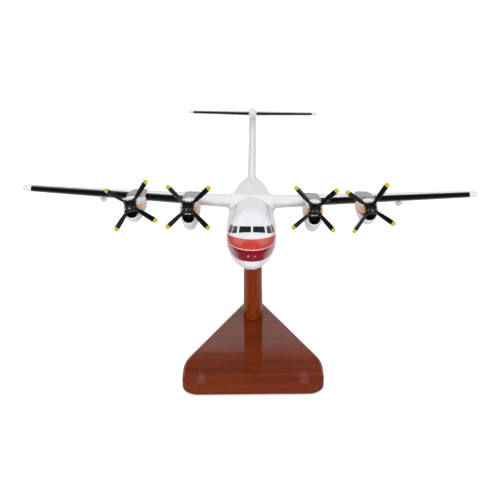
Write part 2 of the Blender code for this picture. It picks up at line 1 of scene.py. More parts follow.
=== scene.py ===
"""Carved and lacquered four-engine T-tail airliner desk model on its mahogany stand.

The frame is +Z up, with the stand's straight edge and the nose towards -Y, the port wing towards
+X. Shapes are drawn in millimetres: the stand in the frame, the aeroplane in its own axes (nose
at the origin, y aft, z up from the fuselage's axis), which are then turned nose-up.
"""

import json
from functools import cached_property, reduce
from math import cos, pi, radians, sin, sqrt
from operator import or_
from types import SimpleNamespace

import bmesh
import bpy
import numpy as np
from mathutils import Matrix, Vector

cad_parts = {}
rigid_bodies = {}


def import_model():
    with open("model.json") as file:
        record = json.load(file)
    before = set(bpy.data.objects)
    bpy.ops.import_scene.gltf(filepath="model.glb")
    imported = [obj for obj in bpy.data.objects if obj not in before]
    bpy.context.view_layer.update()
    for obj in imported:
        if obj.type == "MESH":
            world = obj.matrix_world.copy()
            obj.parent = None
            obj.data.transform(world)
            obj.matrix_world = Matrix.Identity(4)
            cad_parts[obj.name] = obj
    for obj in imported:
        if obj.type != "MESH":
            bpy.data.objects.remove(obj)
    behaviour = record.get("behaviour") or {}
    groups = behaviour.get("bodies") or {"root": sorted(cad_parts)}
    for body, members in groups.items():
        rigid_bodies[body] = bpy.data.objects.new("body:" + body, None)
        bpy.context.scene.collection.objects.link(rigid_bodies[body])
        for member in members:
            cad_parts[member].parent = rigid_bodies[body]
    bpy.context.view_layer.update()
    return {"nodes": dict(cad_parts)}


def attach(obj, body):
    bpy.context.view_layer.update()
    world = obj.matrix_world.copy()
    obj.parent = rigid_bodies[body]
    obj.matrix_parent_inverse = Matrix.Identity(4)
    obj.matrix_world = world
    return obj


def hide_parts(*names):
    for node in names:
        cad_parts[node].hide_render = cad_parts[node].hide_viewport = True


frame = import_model()
NODES = frame["nodes"]
scene = bpy.context.scene

# ================================================================ dimensions, mm
NOSE = (-1.2, -121.7, 189.9)
NOSE_UP = radians(15.0)
ROLL = radians(1.0)  # port wing low
ATTITUDE = Matrix.Rotation(-NOSE_UP, 3, "X") @ Matrix.Rotation(ROLL, 3, "Y")

GAP = 0.3
FELT_T, BASE_T = 1.5, 12.7
BASE_BOTTOM = FELT_T + GAP
BASE_TOP = BASE_BOTTOM + BASE_T
BASE_HALF_W, BASE_FRONT, BASE_APEX = 76.6, -92.3, 107.3
BASE_R_APEX, BASE_R_BEND, BASE_R_CORNER = 13.0, 52.0, 17.0
BASE_SLOPE = radians(26.5)  # turn of the outline between apex and bend
POST_Y, POST_TOP = 51.3, 135

WING_ROOT_X, SEMI_SPAN = 31.0, 263.6
WING_LE, WING_SWEEP = 165.8, 29.8  # leading edge at the root, and how far aft the tip lies
WING_CHORD, WING_TAPER = 70.5, 39.0  # root chord, and how much shorter the tip's is
WING_Z_ROOT, WING_RISE, WING_DROOP = 18.9, 0.0407, 0.026  # rise per mm of span, fall per mm aft
WING_T_ROOT, WING_T_TIP = 12.8, 7.0

FIN_Z, FIN_H = 25.0, 77.0
TAIL_Z, TAIL_SEMI_SPAN, TAIL_ROOT_X = 107.4, 87.6, 3.2
TAIL_LE, TAIL_SWEEP, TAIL_TE, TAIL_TE_SWEEP = 386.7, 16.5, 436.0, 2.0
BULLET_Y, LENGTH = 366.0, 457.0

PROP_R, HUB_R = 32.7, 6.1
INBOARD_X = 67.5
# x, y, z of the propeller's centre, angle of its first blade in degrees
ENGINES = {
    "starboard_outboard": (-128.8, 116.4, 22.5, 58.3),
    "starboard_inboard": (-INBOARD_X, 110.2, 22.3, 44.2),
    "port_inboard": (INBOARD_X, 110.2, 22.3, 41.9),
    "port_outboard": (127.8, 116.4, 23.3, 56.8),
}
# rows of a nacelle: y, half width, top, bottom, height of the widest line
INBOARD = SimpleNamespace(
    rows=[(4.2, 7.4, 6.8, -18.0, -4), (5.6, 8.3, 7.5, -19.6, -4), (12, 9.4, 7.9, -23.2, -4.5),
          (20, 10.0, 7.8, -26.8, -5), (32, 10.2, 7.4, -30.2, -6), (46, 10.1, 6.2, -32.2, -6.5),
          (66, 9.7, 1.8, -32.2, -8), (86, 8.8, -0.5, -29.6, -10), (104, 7.2, -3, -24.4, -10.5),
          (118, 5.2, -5.4, -18.4, -10), (128, 2.8, -8, -13.2, -10)],
    mouth_top=-8.6, stripe_end=92.0, chin_top=-8.1, chin_depth=9.3, duct_rise=0.0)
OUTBOARD = SimpleNamespace(
    rows=[(4.2, 7.4, 7.2, -14.8, -3), (5.6, 8.3, 7.9, -16.2, -3), (12, 9.4, 8.2, -18.8, -3.5),
          (20, 10.0, 8.1, -21.2, -4), (32, 10.2, 7.8, -23.4, -4.5), (46, 10.0, 6.8, -24.2, -5),
          (64, 9.4, 2.8, -23.0, -5.5), (80, 8.2, 0.5, -19.8, -6), (94, 6.2, -2, -15.2, -6),
          (104, 4.0, -3.6, -11, -5.8), (110, 2.2, -4.8, -8.0, -5.7)],
    mouth_top=-6.9, stripe_end=78.0, chin_top=-6.4, chin_depth=7.6, duct_rise=0.9)


def air(points):
    """Aeroplane axes to the frame, both in mm."""
    return np.asarray(points, float) @ np.array(ATTITUDE).T + NOSE


# ================================================================ curves and sections
def curve(points, x, root=False):
    """Monotone cubic through (x, value) points; root spaces it by the square root of x (noses)."""
    xs, ys = np.array(points, float).T
    x = np.asarray(x, float)
    if root:
        xs, x = np.sqrt(xs), np.sqrt(np.maximum(x, 0))
    steps = np.diff(ys) / np.diff(xs)
    slope = np.empty(len(xs))
    slope[0], slope[-1] = steps[0], steps[-1]
    product = steps[:-1] * steps[1:]
    total = np.where(product > 0, steps[:-1] + steps[1:], 1)
    slope[1:-1] = np.where(product > 0, 2 * product / total, 0)
    x = np.clip(x, xs[0], xs[-1])
    i = np.clip(np.searchsorted(xs, x, side="right") - 1, 0, len(xs) - 2)
    width = xs[i + 1] - xs[i]
    t = (x - xs[i]) / width
    return ((2 * t**3 - 3 * t**2 + 1) * ys[i] + (t**3 - 2 * t**2 + t) * width * slope[i]
            + (-2 * t**3 + 3 * t**2) * ys[i + 1] + (t**3 - t**2) * width * slope[i + 1])


def station(rows, x, root=False):
    """Every column of a table after the first, read off at x."""
    return [float(curve([(row[0], row[k]) for row in rows], x, root))
            for k in range(1, len(rows[0]))]


def round_off(part):
    """Height of a quarter circle: 1 at part 0, 0 at part 1."""
    return sqrt(max(0.0, 1 - part**2))


def oval_ring(y, half_width, top, bottom, middle, count, top_power=2.0, bottom_power=2.0):
    """Superellipse across y, with its own reach and power above and below its middle height."""
    angle = 2 * pi * np.arange(count) / count
    ca, sa = np.cos(angle), np.sin(angle)
    power = np.where(sa >= 0, top_power, bottom_power)
    reach = np.where(sa >= 0, top - middle, middle - bottom)
    x = half_width * np.abs(ca) ** (2 / power) * np.sign(ca)
    z = middle + reach * np.abs(sa) ** (2 / power) * np.sign(sa)
    return np.stack([x, np.full(count, y), z], -1)


def normals(loop):
    """Outward unit normals of a loop that runs forward over its top."""
    along = np.roll(loop, -1, 0) - np.roll(loop, 1, 0)
    along /= np.maximum(np.hypot(along[:, 0], along[:, 1]), 1e-9)[:, None]
    return np.stack([along[:, 1], -along[:, 0]], -1)


def aerofoil(chord, thick, count, camber=0.0, offset=0.0):
    """Loop of (aft, up): trailing edge, over the top to the nose, back under, round tail edge."""
    s = 0.5 * (1 - np.cos(pi * np.arange(count + 1) / count))
    half = 5 * thick * (0.2969 * np.sqrt(s) - 0.1260 * s - 0.3516 * s**2
                        + 0.2843 * s**3 - 0.1015 * s**4)
    edge = max(0.45, 0.04 * thick)
    bow = 4 * camber * chord * s * (1 - s)
    upper = np.stack([s * chord, half + edge * s + bow], -1)[::-1]
    lower = np.stack([s * chord, -half - edge * s + bow], -1)[1:]
    radius = upper[0, 1] - bow[-1]
    tail = [(chord + radius * 0.8 * cos(t), radius * sin(t))
            for t in (-pi / 3, -pi / 6, 0, pi / 6, pi / 3)]
    loop = np.concatenate([upper, lower, tail])
    return loop + normals(loop) * offset if offset else loop


# ================================================================ solids: (vertices, faces)
def shell(rings, first_tip=None, last_tip=None):
    """Closed solid through equal rings; a tip closes an end to a point, else it is one face."""
    rings = [np.asarray(ring, float) for ring in rings]
    n = len(rings[0])
    verts = np.concatenate(rings)
    faces = []
    for start in range(0, (len(rings) - 1) * n, n):
        for i in range(n):
            j = (i + 1) % n
            faces.append((start + i, start + j, start + n + j, start + n + i))
    last = (len(rings) - 1) * n
    if first_tip is not None:
        verts = np.vstack([verts, first_tip])
        tip = len(verts) - 1
        faces += [(tip, (i + 1) % n, i) for i in range(n)]
    else:
        faces.append(tuple(range(n))[::-1])
    if last_tip is not None:
        verts = np.vstack([verts, last_tip])
        tip = len(verts) - 1
        faces += [(tip, last + i, last + (i + 1) % n) for i in range(n)]
    else:
        faces.append(tuple(range(last, last + n)))
    return verts, faces


def placed(solid, place=air):
    verts, faces = solid
    return place(verts), faces


def turned(profile, axis="z", count=72, at=(0, 0, 0), place=None):
    """Solid of revolution through (radius, height) points, moved by at and then by place."""
    order = {"z": (0, 1, 2), "y": (0, 2, 1), "x": (2, 0, 1)}[axis]
    angle = 2 * pi * np.arange(count) / count

    def ring(radius, height):
        columns = radius * np.cos(angle), radius * np.sin(angle), np.full(count, height)
        return np.stack([columns[k] for k in order], -1)

    tips = [ring(0, height)[0] if radius == 0 else None
            for radius, height in (profile[0], profile[-1])]
    verts, faces = shell([ring(*point) for point in profile if point[0] != 0], *tips)
    verts = verts + np.array(at)
    return (place(verts) if place else verts), faces


def rod(radius, start, end, axis, count, at=(0, 0, 0), place=None):
    return turned([(radius, start), (radius, end)], axis, count, at, place)


def spun(points, angle):
    """Turn about the y axis, z towards x."""
    x, y, z = points[:, 0], points[:, 1], points[:, 2]
    ca, sa = cos(angle), sin(angle)
    return np.stack([x * ca + z * sa, y, -x * sa + z * ca], -1)


# ================================================================ objects
def set_creases(mesh, crease):
    mesh.shade_smooth()
    mesh.set_sharp_from_angle(angle=radians(crease))


def to_mesh(name, solid, crease):
    """Millimetres to a mesh in metres, faces pointing out, smooth below the crease angle."""
    verts, faces = solid
    mesh = bpy.data.meshes.new(name)
    mesh.from_pydata([tuple(v) for v in (np.asarray(verts) * 0.001)], [], faces)
    bm = bmesh.new()
    bm.from_mesh(mesh)
    bmesh.ops.recalc_face_normals(bm, faces=bm.faces)
    bm.to_mesh(mesh)
    bm.free()
    set_creases(mesh, crease)
    return mesh


def add(name, data):
    obj = bpy.data.objects.new(name, data)
    scene.collection.objects.link(obj)
    return obj


def build(name, solid, *materials, crease=40.0):
    obj = add(name, to_mesh(name, solid, crease))
    for material in materials:
        obj.data.materials.append(material)
    return obj


def cut(obj, *cutters, lining=None, crease=40.0, operation="DIFFERENCE"):
    """Boolean with each solid in turn, applied at once; lining is the material of the cut."""
    for solid in cutters:
        cutter = add("cutter", to_mesh("cutter", solid, crease=35.0))
        boolean = obj.modifiers.new("cut", "BOOLEAN")
        boolean.operation, boolean.solver, boolean.object = operation, "EXACT", cutter
        if lining is not None:
            cutter.data.materials.append(lining)
            boolean.material_mode = "TRANSFER"
        bpy.context.view_layer.update()
        depsgraph = bpy.context.evaluated_depsgraph_get()
        done = bpy.data.meshes.new_from_object(obj.evaluated_get(depsgraph))
        obj.modifiers.clear()
        old = obj.data
        obj.data = done
        done.name = obj.name
        bpy.data.meshes.remove(old)
        bpy.data.objects.remove(cutter)
    set_creases(obj.data, crease)


def finish_piece(obj, node, body="model"):
    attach(obj, body)
    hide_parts(node)


# ================================================================ node graphs
def math_operator(operation, swapped=False):
    def apply(self, other):
        pair = (other, self) if swapped else (self, other)
        return self.graph.math(operation, *pair)
    return apply


class Signal:
    """A node's output. Arithmetic on it adds Math nodes; masks meet with * and join with |."""

    __add__, __radd__ = math_operator("ADD"), math_operator("ADD", swapped=True)
    __sub__, __rsub__ = math_operator("SUBTRACT"), math_operator("SUBTRACT", swapped=True)
    __mul__, __truediv__ = math_operator("MULTIPLY"), math_operator("DIVIDE")
    __pow__, __or__ = math_operator("POWER"), math_operator("MAXIMUM")

    def __init__(self, graph, socket):
        self.graph, self.socket = graph, socket

    def __abs__(self):
        return self.graph.math("ABSOLUTE", self)

    def output(self, name):
        """Another output of the same node."""
        return Signal(self.graph, self.socket.node.outputs[name])


class Graph:
    """Writes a node tree."""

    def __init__(self, tree):
        self.tree = tree
        tree.nodes.clear()

    def feed(self, socket, value):
        if isinstance(value, Signal):
            self.tree.links.new(value.socket, socket)
        elif isinstance(value, tuple) and len(value) == 3 and len(socket.default_value) == 4:
            socket.default_value = (*value, 1.0)
        else:
            socket.default_value = value

    def add(self, kind, inputs=None, **settings):
        node = self.tree.nodes.new(kind)
        for name, value in settings.items():
            setattr(node, name, value)
        for key, value in (inputs or {}).items():
            self.feed(node.inputs[key], value)
        return node

    def node(self, kind, inputs=None, output=0, **settings):
        return Signal(self, self.add(kind, inputs, **settings).outputs[output])

    def math(self, operation, first, second=0.0):
        return self.node("ShaderNodeMath", {0: first, 1: second}, operation=operation)

    def smooth_max(self, first, second, radius):
        return self.node("ShaderNodeMath", {0: first, 1: second, 2: radius},
                         operation="SMOOTH_MAX")

    def vector(self, operation, first, second):
        into = "Scale" if operation == "SCALE" else 1
        return self.node("ShaderNodeVectorMath", {0: first, into: second}, operation=operation)

    def split(self, vector):
        x = self.node("ShaderNodeSeparateXYZ", {0: vector})
        return x, x.output(1), x.output(2)

    def span(self, value, over, to=(0.0, 1.0), smooth=False):
        """Map the range over onto the range to, held at its ends."""
        inputs = {"Value": value, "From Min": over[0], "From Max": over[1],
                  "To Min": to[0], "To Max": to[1]}
        return self.node("ShaderNodeMapRange", inputs, output="Result", clamp=True,
                         interpolation_type="SMOOTHSTEP" if smooth else "LINEAR")

    def mix(self, factor, first, second):
        return self.node("ShaderNodeMix", {0: factor, 6: first, 7: second}, output=2,
                         data_type="RGBA")

    def lerp(self, factor, first, second):
        return self.node("ShaderNodeMix", {0: factor, 2: first, 3: second}, data_type="FLOAT")

    def mix_shader(self, factor, first, second):
        return self.node("ShaderNodeMixShader", {0: factor, 1: first, 2: second})

    def below(self, value, edge, soft=0.06):
        """1 where value < edge."""
        return self.span(value - edge, over=(-soft, soft), to=(1.0, 0.0))

    def above(self, value, edge, soft=0.06):
        return 1.0 - self.below(value, edge, soft)

    def line(self, value, place, half=0.16, soft=0.07):
        return self.below(abs(value - place), half, soft)


class Material(Graph):
    """A procedural material around one Principled shader."""

    INPUTS = {"color": "Base Color", "rough": "Roughness", "metal": "Metallic",
              "coat": "Coat Weight", "coat_rough": "Coat Roughness", "normal": "Normal",
              "coat_normal": "Coat Normal", "sheen": "Sheen Weight",
              "sheen_rough": "Sheen Roughness", "sheen_tint": "Sheen Tint",
              "spec": "Specular IOR Level", "glow": "Emission Color",
              "glow_strength": "Emission Strength"}

    def __init__(self, name):
        self.material = bpy.data.materials.new(name)
        self.material.use_nodes = True
        super().__init__(self.material.node_tree)
        self.surface = self.node("ShaderNodeBsdfPrincipled")
        self.out = self.add("ShaderNodeOutputMaterial", {0: self.surface})

    @cached_property
    def point(self):
        return self.node("ShaderNodeTexCoord", output="Object")

    @cached_property
    def mm(self):
        """The frame's axes, mm."""
        return self.vector("SCALE", self.point, 1000.0)

    @cached_property
    def air(self):
        """The aeroplane's axes, mm."""
        inputs = {"Location": tuple(v * 0.001 for v in NOSE),
                  "Rotation": ATTITUDE.to_euler("XYZ"),
                  "Scale": (0.001, 0.001, 0.001), "Vector": self.point}
        return self.node("ShaderNodeMapping", inputs, vector_type="TEXTURE")

    def noise(self, scale, detail=3.0, rough=0.5, distort=0.0, stretch=None, at=None):
        at = self.mm if at is None else at
        if stretch is not None:
            at = self.vector("MULTIPLY", at, stretch)
        inputs = {"Vector": at, "Scale": scale, "Detail": detail, "Roughness": rough,
                  "Distortion": distort}
        return self.node("ShaderNodeTexNoise", inputs, output="Fac")

    def wobble(self, scale, width, detail=2.0, at=None):
        """Wander of a hand-painted edge, mm."""
        return (self.noise(scale=scale, detail=detail, at=at) - 0.5) * width

    def bump(self, height, strength):
        """Relief from a height in mm."""
        return self.node("ShaderNodeBump",
                         {"Strength": strength, "Distance": 0.001, "Height": height})

    def curve(self, value, points):
        """A smooth function of one value through (value, result) points."""
        start, end = points[0][0], points[-1][0]
        low = min(p[1] for p in points)
        high = max(p[1] for p in points)
        inputs = {"Value": self.span(value, over=(start, end))}
        node = self.add("ShaderNodeFloatCurve", inputs)
        handles = node.mapping.curves[0].points
        while len(handles) < len(points):
            handles.new(0.5, 0.5)
        for handle, (x, y) in zip(handles, points):
            handle.location = ((x - start) / (end - start), (y - low) / (high - low))
            handle.handle_type = "AUTO_CLAMPED"
        node.mapping.update()
        return Signal(self, node.outputs[0]) * (high - low) + low

    def set(self, **values):
        for name, value in values.items():
            self.feed(self.surface.socket.node.inputs[self.INPUTS[name]], value)
        return self.material


def shade(color, amount):
    return tuple(c * amount for c in color)


def fibres(axis, along, across):
    """Noise stretch for fibres that run along one axis: 0 x, 1 y, 2 z."""
    return tuple(along if k == axis else across for k in range(3))


# ================================================================ paint
# linear colours
WHITE_A, WHITE_B = (0.83, 0.825, 0.85), (0.77, 0.765, 0.79)
ORANGE_RED = (0.60, 0.060, 0.038)
MAROON = (0.235, 0.008, 0.018)
GOLD = (0.86, 0.40, 0.12)
RED = (0.50, 0.035, 0.035)
PINK = (0.93, 0.66, 0.62)
GLASS = (0.012, 0.022, 0.021)
BLACK = (0.0045, 0.0045, 0.0055)
YELLOW_A, YELLOW_B = (0.65, 0.535, 0.020), (0.52, 0.42, 0.018)
LINE = (0.42, 0.42, 0.45)


def lacquer(name, paint=None, coat=0.55):
    """Lacquer over carved wood: orange peel, slow carving waves, brush drag and dust.
    paint(g) returns (mask, colour, roughness) layers, drawn in order over the white."""
    g = Material(name)
    slow = g.noise(scale=0.045)
    peel = g.noise(scale=0.75, detail=2.0)
    drag = g.noise(scale=0.5, detail=4.0, rough=0.65, stretch=(1.0, 0.12, 0.6))
    speck = g.span(g.noise(scale=2.4, detail=2.0), over=(0.72, 0.78))
    color = g.mix(g.span(slow, over=(0.35, 0.65)), WHITE_A, WHITE_B)
    rough = g.span(drag, over=(0.3, 0.7), to=(0.15, 0.29))
    painted = None
    for mask, tone, gloss in (paint(g) if paint else []):
        # opaque paint with slightly uneven pigment
        worn = g.mix(g.span(drag, over=(0.25, 0.75)), tone, shade(tone, 0.86))
        color = g.mix(mask, color, worn)
        brushed = g.span(drag, over=(0.3, 0.7), to=(gloss - 0.03, gloss + 0.06))
        rough = g.lerp(mask, rough, brushed)
        painted = mask if painted is None else painted | mask
    color = g.mix(speck * 0.18, color, (0.45, 0.43, 0.40))
    # relief in mm
    height = peel * 0.004 + slow * 0.09 + drag * 0.003 + speck * 0.003
    bare_coat = coat * 0.25
    if painted is None:
        coat = bare_coat
    else:
        height = height + painted * 0.018
        coat = g.lerp(painted, bare_coat, coat)
    return g.set(color=color, rough=rough, spec=0.25, coat=coat, coat_rough=0.06,
                 normal=g.bump(height, strength=0.6),
                 coat_normal=g.bump(peel * 0.004 + slow * 0.08, strength=0.6))


def black_lacquer(name, tip=False):
    """Black gloss; with tip, drawn in the blade's own axes with a yellow band at its end."""
    g = Material(name)
    at = g.node("ShaderNodeAttribute", output="Vector", attribute_name="bl") if tip else g.mm
    peel = g.noise(scale=0.9, detail=2.0, at=at)
    scratch = g.noise(scale=1.0, detail=4.0, rough=0.7, stretch=(3.0, 3.0, 0.25), at=at)
    dust = g.span(g.noise(scale=2.1, detail=2.0, at=at), over=(0.70, 0.73))
    color = g.mix(g.span(scratch, over=(0.45, 0.8)), BLACK, (0.011, 0.011, 0.013))
    rough = g.span(scratch, over=(0.3, 0.75), to=(0.10, 0.24))
    step = 0.0  # thickness of the yellow paint, mm
    if tip:
        radius = g.split(at)[2]
        wander = g.wobble(scale=0.8, width=0.5, detail=1.0, at=at)
        mask = g.above(radius + wander, edge=28.35, soft=0.08)
        yellow = g.mix(g.span(scratch, over=(0.3, 0.75)), YELLOW_A, YELLOW_B)
        color = g.mix(mask, color, yellow)
        rough = g.lerp(mask, rough, 0.30)
        step = mask * 0.05
    color = g.mix(dust * 0.08, color, (0.25, 0.24, 0.23))
    height = peel * 0.02 + scratch * 0.006 + step
    return g.set(color=color, rough=rough, coat=0.8, coat_rough=0.04,
                 normal=g.bump(height, strength=0.7))


# edges of the fuselage's two bands: (y, z)
BAND_LOWER = [(0, -12.2), (6, -11.6), (14, -11.0), (24, -10.0), (36, -7.2), (50, -4.9),
              (80, -4.0), (340, 2.5), (448, 14)]
BAND_MIDDLE = [(0, -1.6), (12, -1.35), (50, -1.0), (200, -0.6), (340, 5.4), (448, 15)]
BAND_UPPER = [(0, 6.35), (18, 6.2), (40, 5.7), (60, 5.4), (200, 5.2), (340, 10.6), (448, 17)]
BAND_END = 436.0
BAND_GAP, PALE_BELOW, PALE_ABOVE = 0.62, 0.5, 0.55  # pale line between and beyond the bands

WINDOW_START, WINDOW_PITCH, WINDOW_COUNT = 84.0, 10.4, 21
WINDOW_Z, WINDOW_HALF_L, WINDOW_HALF_H = 9.7, 1.75, 2.15
DOORS = [(70.5, 80.5, -8.0, 17.0), (306.0, 315.5, -1.0, 18.5)]  # y and z ranges


def cockpit_mask(g, x, y, z):
    """Three panes a side, as signed distances with rounded corners, about a centre line."""
    across = x - 0.55
    out = abs(across)
    square = across * across
    # bottom and top edges, falling away to the sides
    under = 10.65 - square * 0.0062 - z
    over = z - (15.25 - square * 0.0042)
    up = (z - 10.0) / 5.0  # 0 to 1 up the panes, which lean inwards by this

    def pane(inner, outer):
        distance = under
        for edge in (over, inner, outer):
            distance = g.smooth_max(distance, edge, radius=0.9)
        return g.span(distance, over=(-0.06, 0.06), to=(1.0, 0.0))

    # inner and outer edge of each pane; the last one ends along y
    centre = pane(0.95 - out, out - (13.0 - up * 0.75))
    side = pane(14.9 - up * 0.85 - out, out - (19.5 - up * 1.9))
    far = pane(20.0 - up * 1.8 - out, (y - (59.5 + up * 6.0)) * 0.6)
    return (centre | side | far) * g.below(y, 75.0)


def window_mask(g, y, z, flanks):
    along = g.math("FRACT", (y - WINDOW_START) / WINDOW_PITCH)
    beside = abs(along * WINDOW_PITCH - WINDOW_PITCH / 2)
    above = abs(z - WINDOW_Z)
    distance = g.math("SQRT", (beside / WINDOW_HALF_L) ** 4.0 + (above / WINDOW_HALF_H) ** 4.0)
    row_end = WINDOW_START + WINDOW_PITCH * WINDOW_COUNT
    row = g.above(y, WINDOW_START) * g.below(y, row_end)
    return g.span(distance, over=(0.94, 1.06), to=(1.0, 0.0)) * row * flanks


def door_mask(g, y, z, flanks):
    def outline(start, end, bottom, top):
        along = abs(y - (start + end) / 2) - (end - start) / 2
        up = abs(z - (bottom + top) / 2) - (top - bottom) / 2
        distance = g.smooth_max(along, up, radius=2.0)
        return g.below(abs(distance), edge=0.22, soft=0.08) * flanks

    return reduce(or_, [outline(*door) for door in DOORS]) * 1.0


def fuselage_paint(g):
    x, y, z = g.split(g.air)
    height = z + g.wobble(scale=0.16, width=0.34)
    lower, middle, upper = (g.curve(y, line) for line in (BAND_LOWER, BAND_MIDDLE, BAND_UPPER))
    stop = g.below(y, BAND_END, soft=0.3)
    pale = g.above(height, lower - PALE_BELOW) * g.below(height, upper + PALE_ABOVE) * stop
    red = g.above(height, middle + BAND_GAP) * g.below(height, upper) * stop
    maroon = g.above(height, lower) * g.below(height, middle) * stop
    flanks = g.above(abs(x), 14.0)
    return [(pale, PINK, 0.2), (red, ORANGE_RED, 0.16), (maroon, MAROON, 0.14),
            (door_mask(g, y, z, flanks), LINE, 0.25),
            (window_mask(g, y, z, flanks), GLASS, 0.12),
            (cockpit_mask(g, x, y, z), GLASS, 0.10)]


WING_BAND_END = 253.2
WING_HINGE = 0.72  # hinge line, as a part of the chord
WING_JOINTS = (34.0, 97.0, 160.0, 196.0, 250.0)


def wing_paint(g):
    """Black leading edge, and painted joints of the flaps and ailerons."""
    x, y, z = g.split(g.air)
    out = abs(x)
    part = (out - WING_ROOT_X) / (SEMI_SPAN - WING_ROOT_X)
    aft = y - (part * WING_SWEEP + WING_LE)
    chord = part * -WING_TAPER + WING_CHORD
    middle = (out - WING_ROOT_X) * WING_RISE + WING_Z_ROOT
    height = z - middle + aft * WING_DROOP
    wander = g.wobble(scale=0.11, width=0.5)
    # width of the black edge over the port and starboard wings, and under both
    over = g.lerp(g.below(x, 0.0), 5.3, 6.8) + wander
    under = 7.5 + wander
    edge = g.lerp(g.above(height, 0.0, soft=0.02), under, over)
    band = (g.below(aft, edge) * g.above(out, INBOARD_X, soft=0.2)
            * g.below(out, WING_BAND_END, soft=0.2))
    back = aft / chord
    hinge = g.below(abs(back - WING_HINGE) * chord, edge=0.16, soft=0.07)
    hinge = hinge * g.above(out, WING_JOINTS[0]) * g.below(out, WING_JOINTS[-1])
    joints = reduce(or_, [g.line(out, place) for place in WING_JOINTS])
    joints = joints * g.above(back, WING_HINGE)
    return [(band, BLACK, 0.16), (hinge | joints, LINE, 0.3)]


TAIL_BAND_W, TAIL_BAND_END, TAIL_HINGE = 4.8, 80.5, 0.66
TAIL_JOINTS = (8.0, 84.0)


def tail_paint(g):
    x, y, z = g.split(g.air)
    out = abs(x)
    leading = TAIL_LE + out * (TAIL_SWEEP / TAIL_SEMI_SPAN)
    trailing = TAIL_TE - out * (TAIL_TE_SWEEP / TAIL_SEMI_SPAN)
    aft = y - leading
    chord = trailing - leading
    edge = TAIL_BAND_W + g.wobble(scale=0.12, width=0.35)
    band = g.below(aft, edge) * g.below(out, TAIL_BAND_END, soft=0.2)
    back = aft / chord
    hinge = g.below(abs(back - TAIL_HINGE) * chord, edge=0.15, soft=0.07)
    hinge = hinge * g.below(out, TAIL_JOINTS[1]) * g.above(out, TAIL_JOINTS[0])
    joints = reduce(or_, [g.line(out, place, half=0.15, soft=0.06) for place in TAIL_JOINTS])
    joints = joints * g.above(back, TAIL_HINGE)
    return [(band, BLACK, 0.16), (hinge | joints, LINE, 0.3)]


RUDDER_Y, RUDDER_SWEEP, RUDDER_BOTTOM, RUDDER_TOP = 411.0, 17.0, 27.0, 98.0


def fin_paint(g):
    x, y, z = g.split(g.air)
    place = RUDDER_Y + (z - FIN_Z) / FIN_H * RUDDER_SWEEP
    rudder = g.line(y, place, soft=0.08) * g.above(z, RUDDER_BOTTOM) * g.below(z, RUDDER_TOP)
    return [(rudder, LINE, 0.3)]


GOLD_STRIPE, RED_STRIPE = (-5.0, 0.8), (-9.6, -5.6)  # z ranges on the nacelles


def nacelle_paint(centre, kind):
    def paint(g):
        x, y, z = g.split(g.vector("SUBTRACT", g.air, centre))
        height = z + g.wobble(scale=0.3, width=0.4)
        sides = g.below(y, kind.stripe_end, soft=0.3) * g.above(abs(x), edge=4.2, soft=0.2)

        def stripe(bottom, top):
            return g.above(height, bottom) * g.below(height, top) * sides

        # black chin below the shaft line, bounded by a rounded curve
        drop = g.math("MAXIMUM", kind.chin_top - z, 0.0)
        smile = (abs(x) / 7.0) ** 2.4 + (drop / kind.chin_depth) ** 2.2
        chin = (g.below(y, edge=5.2, soft=0.1) * g.below(height, kind.chin_top, soft=0.1)
                * g.below(smile, edge=1.0, soft=0.02))
        return [(stripe(*GOLD_STRIPE), GOLD, 0.2), (stripe(*RED_STRIPE), RED, 0.18),
                (chin, BLACK, 0.2)]
    return paint


# ================================================================ other materials
def silver_material(name, engine_y):
    """Brushed silver paint, sooty towards the outlet."""
    g = Material(name)
    y = g.split(g.air)[1]
    brushed = g.noise(scale=0.7, detail=4.0, rough=0.65, stretch=(1.6, 0.14, 1.6))
    blotch = g.noise(scale=0.16)
    soot = g.span(y, over=(engine_y + 62.0, engine_y + 84.0), smooth=True)
    soot = soot * g.span(blotch, over=(0.3, 0.6), to=(0.35, 1.0))
    color = g.mix(g.span(brushed, over=(0.3, 0.7)), (0.36, 0.365, 0.36), (0.27, 0.275, 0.27))
    stain = g.span(blotch, over=(0.55, 0.75), to=(0.0, 0.4))
    color = g.mix(stain, color, (0.34, 0.33, 0.31))
    color = g.mix(soot, color, (0.05, 0.045, 0.04))
    return g.set(color=color, rough=g.span(brushed, over=(0.3, 0.7), to=(0.30, 0.46)),
                 metal=0.75 - soot * 0.55, coat=0.25, coat_rough=0.12,
                 normal=g.bump(brushed * 0.025 + blotch * 0.12, strength=0.8))


